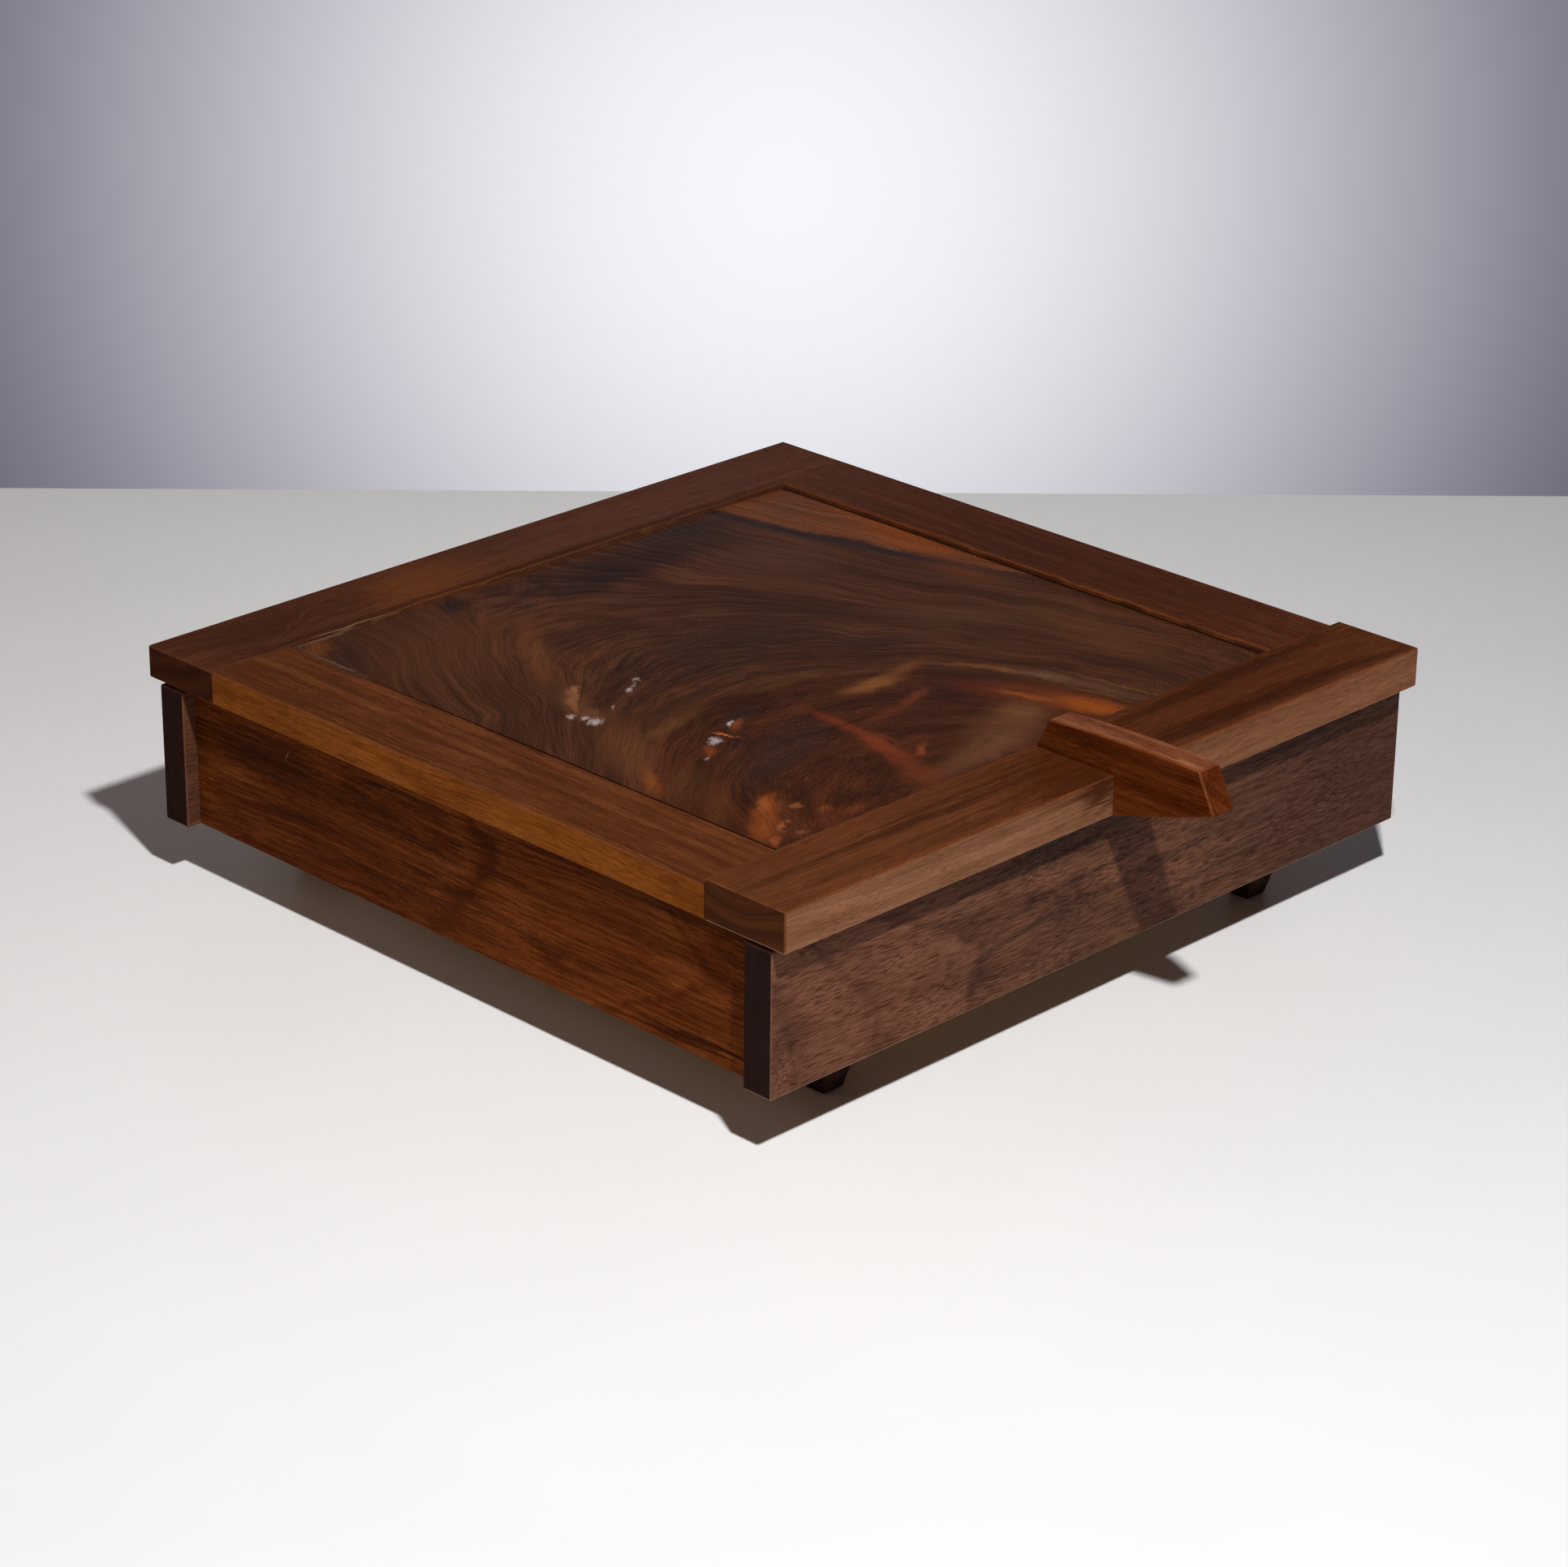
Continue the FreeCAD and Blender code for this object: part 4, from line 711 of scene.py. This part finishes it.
# dried polish, and dust along the frame's back left corner
RESIDUE = [(95.5, 230, 4.6, 3.2, 30, (178, 164, 160), 0.85),
           (95, 223, 2.8, 1.6, 30, (178, 164, 160), 0.8),
           (91, 217, 3, 1.5, 45, (170, 152, 144), 0.80),
           (136, 211, 3.4, 1.5, 30, (170, 156, 152), 0.8),
           (148.5, 203, 2.4, 1.6, 50, (160, 144, 138), 0.7),
           (142, 207, 7, 0.7, 42, (150, 132, 126), 0.6),
           (121, 287, 4.8, 2.6, 35, (172, 152, 154), 0.85),
           (142, 276.5, 3, 1.4, 20, (186, 180, 176), 0.9),
           (103, 300, 2, 1.5, 40, (150, 134, 128), 0.70),
           (114.5, 222, 4, 0.7, 38, (150, 132, 126), 0.6),
           (70, 53, 24, 1.8, 0, (122, 100, 84), 0.50), (52, 84, 24, 1.6, 90, (118, 98, 82), 0.45),
           (180, 52.2, 130, 0.8, 0, (100, 66, 44), 0.50)]


def power(tree, value, exponent):
    """A value's size, raised."""
    return sums(tree, "POWER", sums(tree, "ABSOLUTE", value), exponent)


def along_arch(tree, arch_scale, swing_scale, scale, detail, rough):
    """A noise that runs with the arch: so much change across it and along it."""
    return noise(tree, put(tree, "ShaderNodeCombineXYZ", {
        0: sums(tree, "MULTIPLY", arch, arch_scale),
        1: sums(tree, "MULTIPLY", swing, swing_scale)}), scale, detail, rough, sides=2)


figured, tree, spot = fresh_material("figured_walnut")
on_lid = put(tree, "ShaderNodeMapping", {"Vector": spot, "Scale": (1000, -1000, 1),
                                         "Location": LID_CORNER})
right, front, _ = parts_of(tree, warped(tree, on_lid, 0.013, 2.0, 0.5, (26, 26, 0)))

# The arch: each growth ring is a rounded peak over the pith, leaning out at the left
out = sums(tree, "SUBTRACT", right, PANEL_PITH_RIGHT)
climb = sums(tree, "MAXIMUM", sums(tree, "SUBTRACT", PANEL_PITH_FRONT, front), 0.0)
lift = sums(tree, "MULTIPLY", ARCH_HEIGHT, sums(tree, "SUBTRACT", 1.0, sums(
    tree, "POWER", math.e, sums(tree, "DIVIDE", climb, -ARCH_FADE))))
lean = sums(tree, "ADD", 1.0, sums(tree, "MULTIPLY", LEAN_AMOUNT, sums(
    tree, "POWER", sums(tree, "DIVIDE", climb, LEAN_RUN), LEAN_POWER)))
lean = sums(tree, "MULTIPLY", lean, sums(tree, "MINIMUM", out, 0.0))
width = sums(tree, "ADD", sums(tree, "ABSOLUTE", lean), sums(tree, "MAXIMUM", out, 0.0))
arch = sums(tree, "POWER", sums(tree, "ADD", power(tree, width, ARCH_SHAPE),
                                power(tree, lift, ARCH_SHAPE)), 1 / ARCH_SHAPE)
swing = sums(tree, "ARCTAN2", lift, out)

# Its fibre, clouds and dark yearly lines
fibre = along_arch(tree, 1.0, 9.0, 1.0, 4.0, 0.6)
cloudy = along_arch(tree, 0.11, 1.6, 1.0, 4.0, 0.55)
drift = noise(tree, sums(tree, "MULTIPLY", arch, 0.03), 1.0, 1.0, sides=1)
years = sums(tree, "ADD", sums(tree, "DIVIDE", arch, YEAR_WIDTH),
             sums(tree, "MULTIPLY", drift, YEAR_WANDER))
line = sums(tree, "POWER", sums(tree, "FRACT", years), 7.0)
faint = spread(tree, noise(tree, put(tree, "ShaderNodeCombineXYZ", {
    0: sums(tree, "FLOOR", years), 1: sums(tree, "MULTIPLY", swing, 2.0)}), 0.9, 2.0, sides=2),
    0.4, 0.66, 0.05, 0.7)
ground = blend(tree, (cloudy, 0.75), (fibre, 0.25))
colour = tones(tree, ground, (0.34, stain(56, 31, 18)), (0.50, stain(69, 38, 23)),
               (0.66, stain(84, 47, 29)))
inside = spread(tree, arch, HEART_OUTSIDE, HEART_INSIDE)
colour = layer(tree, "MULTIPLY", sums(tree, "MULTIPLY", inside, 0.9), colour,
               (0.80, 0.66, 0.60, 1))
fleck = noise(tree, on_lid, 0.9, 3.0, 0.65, sides=2)
fray = blend(tree, (sums(tree, "SUBTRACT", fibre, 0.5), 1.6),
             (sums(tree, "SUBTRACT", fleck, 0.5), 1.3))

# The sapwood at the back right, with a dark rim
ragged = warped(tree, on_lid, 0.13, 5.0, 0.65, (8, 8, 0))
ragged_right, ragged_front, _ = parts_of(tree, ragged)
run = sums(tree, "MAXIMUM", sums(tree, "DIVIDE", sums(tree, "SUBTRACT", ragged_front,
                                                      SAP_START), SAP_RUN), 0.0)
beyond = sums(tree, "SUBTRACT", ragged_right, sums(tree, "ADD", SAP_EDGE, sums(
    tree, "MULTIPLY", SAP_SPREAD, sums(tree, "POWER", run, SAP_POWER))))
sap = tones(tree, ground, (0.35, stain(90, 47, 26)), (0.6, stain(118, 66, 38)))
colour = layer(tree, "MIX", spread(tree, beyond, -1.5, 2.5), colour, sap)
rim = sums(tree, "MULTIPLY", bell(tree, beyond, -3.5, 3.4), spread(tree, run, 1.15, 0.5, 0.2, 1))

colour = marked(tree, colour, ragged, fray, FIGURE)
colour = layer(tree, "MULTIPLY", sums(tree, "MULTIPLY", line, faint), colour,
               (0.42, 0.36, 0.36, 1))
colour = layer(tree, "MIX", sums(tree, "MULTIPLY", rim, 0.85), colour, stain(38, 28, 30))
colour = marked(tree, colour, ragged, fray, RESIDUE)
colour = layer(tree, "SOFT_LIGHT", 0.55, colour, tones(tree, fibre, (0.3, grey(0.28)),
                                                       (0.7, grey(0.72))))
colour = layer(tree, "SOFT_LIGHT", 0.6, colour, tones(tree, fleck, (0.3, grey(0.25)),
                                                      (0.7, grey(0.75))))

# Painted shade: the panel's edges beside its gaps to the stiles are darkened, standing in for the
# shade down in the gaps
edge_right, edge_front, _ = parts_of(tree, on_lid)
painted_gap_shade = sums(tree, "MULTIPLY", spread(tree, edge_right, 52.4, 51.9),
            spread(tree, edge_front, 120, 220, 0.15, 0.95))
painted_gap_shade = sums(tree, "MAXIMUM", painted_gap_shade, spread(tree, edge_right, 402.4, 403.4, 0.0, 0.95))
colour = layer(tree, "MIX", painted_gap_shade, colour, stain(16, 9, 6))
specks = use_group(tree, dust_and_glints, {"Vector": spot, "Amount": 0.4})["Dust And Glints"]
colour = layer(tree, "MIX", specks, colour, stain(160, 142, 132))
relief = put(tree, "ShaderNodeBump", {"Height": sums(tree, "SUBTRACT", fibre, line),
                                      "Strength": 0.25, "Distance": 0.0001})
surfaced(tree, {"Base Color": colour, "Normal": relief, "Specular IOR Level": 0.01,
                "Roughness": spread(tree, fibre, 0.3, 0.7, 0.5, 0.42)})
finish_with(figured, "lid_panel")


# Handle
# A bar of red-brown hardwood notched over the front rail, its ends leaning and its underside
# rising to the tip, with all its arrises softened.
finish_with(walnut("handle_wood", (77, 32, 9), (93, 42, 14), (108, 54, 21),
                   turn=(0, 0, ALONG_Y), shift=(0, 0.12, -0.25), ring=0.004, banding=0.2,
                   streaking=0.25, reach=0.24, pores=0.7,
                   face=(2, (108, 58, 34), (132, 77, 48), (152, 98, 68)), wear=0.5,
                   rub=(128, 72, 44), specks=0.3, rough=0.42), "handle")


# Mirror
# Silvered glass with a card behind it, in a rabbet in the lid's underside, held by four mitred
# beads of stained wood.
mirror, tree, spot = fresh_material("mirror")
smear = noise(tree, spot, 14.0, 5.0, 0.7)
surfaced(tree, {"Base Color": tones(tree, smear, (0.3, stain(214, 220, 218)),
                                    (0.7, stain(228, 233, 231))),
                "Metallic": 1.0, "Roughness": spread(tree, smear, 0.45, 0.75, 0.01, 0.03)})
finish_with(mirror, "mirror_glass")

card, tree, spot = fresh_material("backing_card")
surfaced(tree, {"Base Color": tones(tree, noise(tree, spot, 420.0, 5.0, 0.8),
                                    (0.3, stain(128, 112, 92)), (0.7, stain(158, 142, 118))),
                "Roughness": 0.9, "Specular IOR Level": 0.15})
finish_with(card, "mirror_backing")

for name, turn in (("mirror_bead_front", 0), ("mirror_bead_back", 0),
                   ("mirror_bead_left", ALONG_Y), ("mirror_bead_right", ALONG_Y)):
    finish_with(walnut(f"{name}_wood", (54, 30, 20), (88, 54, 36), (114, 74, 50),
                       turn=(0, 0, turn), shift=(0, 0.1, -0.1), ring=0.004), name)


# Screws
# Flat-headed screws of turned steel and brass, each with one slot, driven in until the head is
# flush with the face that it holds.
POINT_UP, POINT_DOWN = 0.0, 1.0
# each kind's head radius, shank radius and length
FOOT_SCREW, HANDLE_SCREW = (0.0039, 0.0019, 0.0299), (0.0037, 0.0019, 0.0319)
LEAF_SCREW, BEAD_SCREW = (0.00203, 0.00115, 0.0119), (0.00203, 0.00095, 0.0089)
# the heights of the faces that their heads are flush with
BOTTOM_FACE, BODY_LEAF_FACE, LID_FACE, BEAD_FACE = 0.0441, 0.1054, 0.1076, 0.1078
FOOT_X, FOOT_Y = 0.1559, (-0.15209, 0.21481)
HINGE_X, LEAF_PITCH, LEAF_LINE = 0.1326, 0.017, 0.24281
BEAD_PITCH, BEAD_MIDDLE = 0.13, 0.03061
BEAD_X, BEAD_Y = 0.1882, (-0.15599, 0.21721)
HANDLE_Y = (-0.18489, -0.16689)

screw_brass = metal("screw_brass", (156, 118, 58), (210, 176, 104), 0.25)
screw_steel = metal("screw_steel", (108, 108, 110), (166, 166, 168), 0.3)
screw_tree, given, result = open_group(
    "slotted_screw", [("Spots", "Geometry"), ("Head Radius", "Float"), ("Shank Radius", "Float"),
                      ("Length", "Float"), ("Slot Width", "Float"), ("Point Down", "Float"),
                      ("Finish", "Material")], ("Screws",), "GeometryNodeTree", "Geometry")


def shape(kind, wires, **settings):
    """One node of the screws' tree."""
    return put(screw_tree, kind, wires, **settings)


def times(size, factor):
    """One of the screw's own sizes, multiplied."""
    return sums(screw_tree, "MULTIPLY", given[size], factor)


head = shape("GeometryNodeMeshCone",
             {"Vertices": 40, "Radius Top": given["Shank Radius"],
              "Radius Bottom": given["Head Radius"], "Depth": times("Head Radius", 0.5)})
shank = shape("GeometryNodeMeshCylinder",
              {"Vertices": 20, "Radius": given["Shank Radius"], "Depth": given["Length"]})
shank = shape("GeometryNodeTransform", {"Geometry": shank, "Translation": shape(
    "ShaderNodeCombineXYZ", {2: times("Length", 0.5)})})
whole = shape("GeometryNodeMeshBoolean", {"Mesh 2": head}, operation="UNION")
screw_tree.links.new(shank, whole.node.inputs["Mesh 2"])
slot_bar = shape("GeometryNodeMeshCube", {"Size": shape("ShaderNodeCombineXYZ", {
    0: times("Head Radius", 2.4), 1: given["Slot Width"], 2: times("Head Radius", 0.55)})})
slotted = shape("GeometryNodeMeshBoolean", {"Mesh 1": whole, "Mesh 2": slot_bar},
                operation="DIFFERENCE")
aim = shape("ShaderNodeCombineXYZ", {
    0: times("Point Down", math.pi),
    2: shape("FunctionNodeRandomValue", {2: -0.9, 3: 0.9, "Seed": 7}, out=1,
             data_type="FLOAT")})
set_out = shape("GeometryNodeInstanceOnPoints", {
    "Points": given["Spots"], "Instance": slotted, "Rotation": aim})
set_out = shape("GeometryNodeRealizeInstances", {"Geometry": set_out})
set_out = shape("GeometryNodeSetMaterial", {"Geometry": set_out, "Material": given["Finish"]})
screw_tree.links.new(set_out, result[0])


def drive_screws(name, body, spots, level, down, sizes, finish):
    """Screws at those x and y, with their heads' faces at one level, in place of a node."""
    mesh = bpy.data.meshes.new(name + "_spots")
    mesh.from_pydata([(x, y, level) for x, y in spots], [], [])
    made = bpy.data.objects.new(name + "_slotted", mesh)
    scene.collection.objects.link(made)
    fitted = made.modifiers.new("screws", "NODES")
    fitted.node_group = screw_tree
    head, shank, length = sizes
    for label, value in (("Head Radius", head), ("Shank Radius", shank), ("Length", length),
                         ("Slot Width", head * 0.28), ("Point Down", down),
                         ("Finish", finish)):
        socket = next(item for item in screw_tree.interface.items_tree
                      if item.name == label and item.in_out == "INPUT")
        fitted[socket.identifier] = value
    bpy.context.view_layer.update()
    solid = bpy.data.meshes.new_from_object(
        made.evaluated_get(bpy.context.evaluated_depsgraph_get()))
    made.modifiers.remove(fitted)
    made.data = solid
    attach(made, body)
    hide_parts(name)


leaf_spots = [(side * HINGE_X + step * LEAF_PITCH, LEAF_LINE)
              for side in (-1, 1) for step in (-1, 0, 1)]
bead_spots = [(step * BEAD_PITCH, y) for y in BEAD_Y for step in (-1, 0, 1)] + \
    [(x, BEAD_MIDDLE + step * BEAD_PITCH) for x in (-BEAD_X, BEAD_X) for step in (-1, 0, 1)]
drive_screws("foot_screws", "box", [(x, y) for x in (-FOOT_X, FOOT_X) for y in FOOT_Y],
             BOTTOM_FACE, POINT_DOWN, FOOT_SCREW, screw_steel)
drive_screws("body_leaf_screws", "box", leaf_spots, BODY_LEAF_FACE, POINT_DOWN, LEAF_SCREW,
             screw_brass)
drive_screws("lid_leaf_screws", "lid", leaf_spots, LID_FACE, POINT_UP, LEAF_SCREW,
             screw_brass)
drive_screws("bead_screws", "lid", bead_spots, BEAD_FACE, POINT_UP, BEAD_SCREW,
             screw_brass)
drive_screws("handle_screws", "lid", [(0, y) for y in HANDLE_Y], LID_FACE, POINT_UP,
             HANDLE_SCREW, screw_steel)
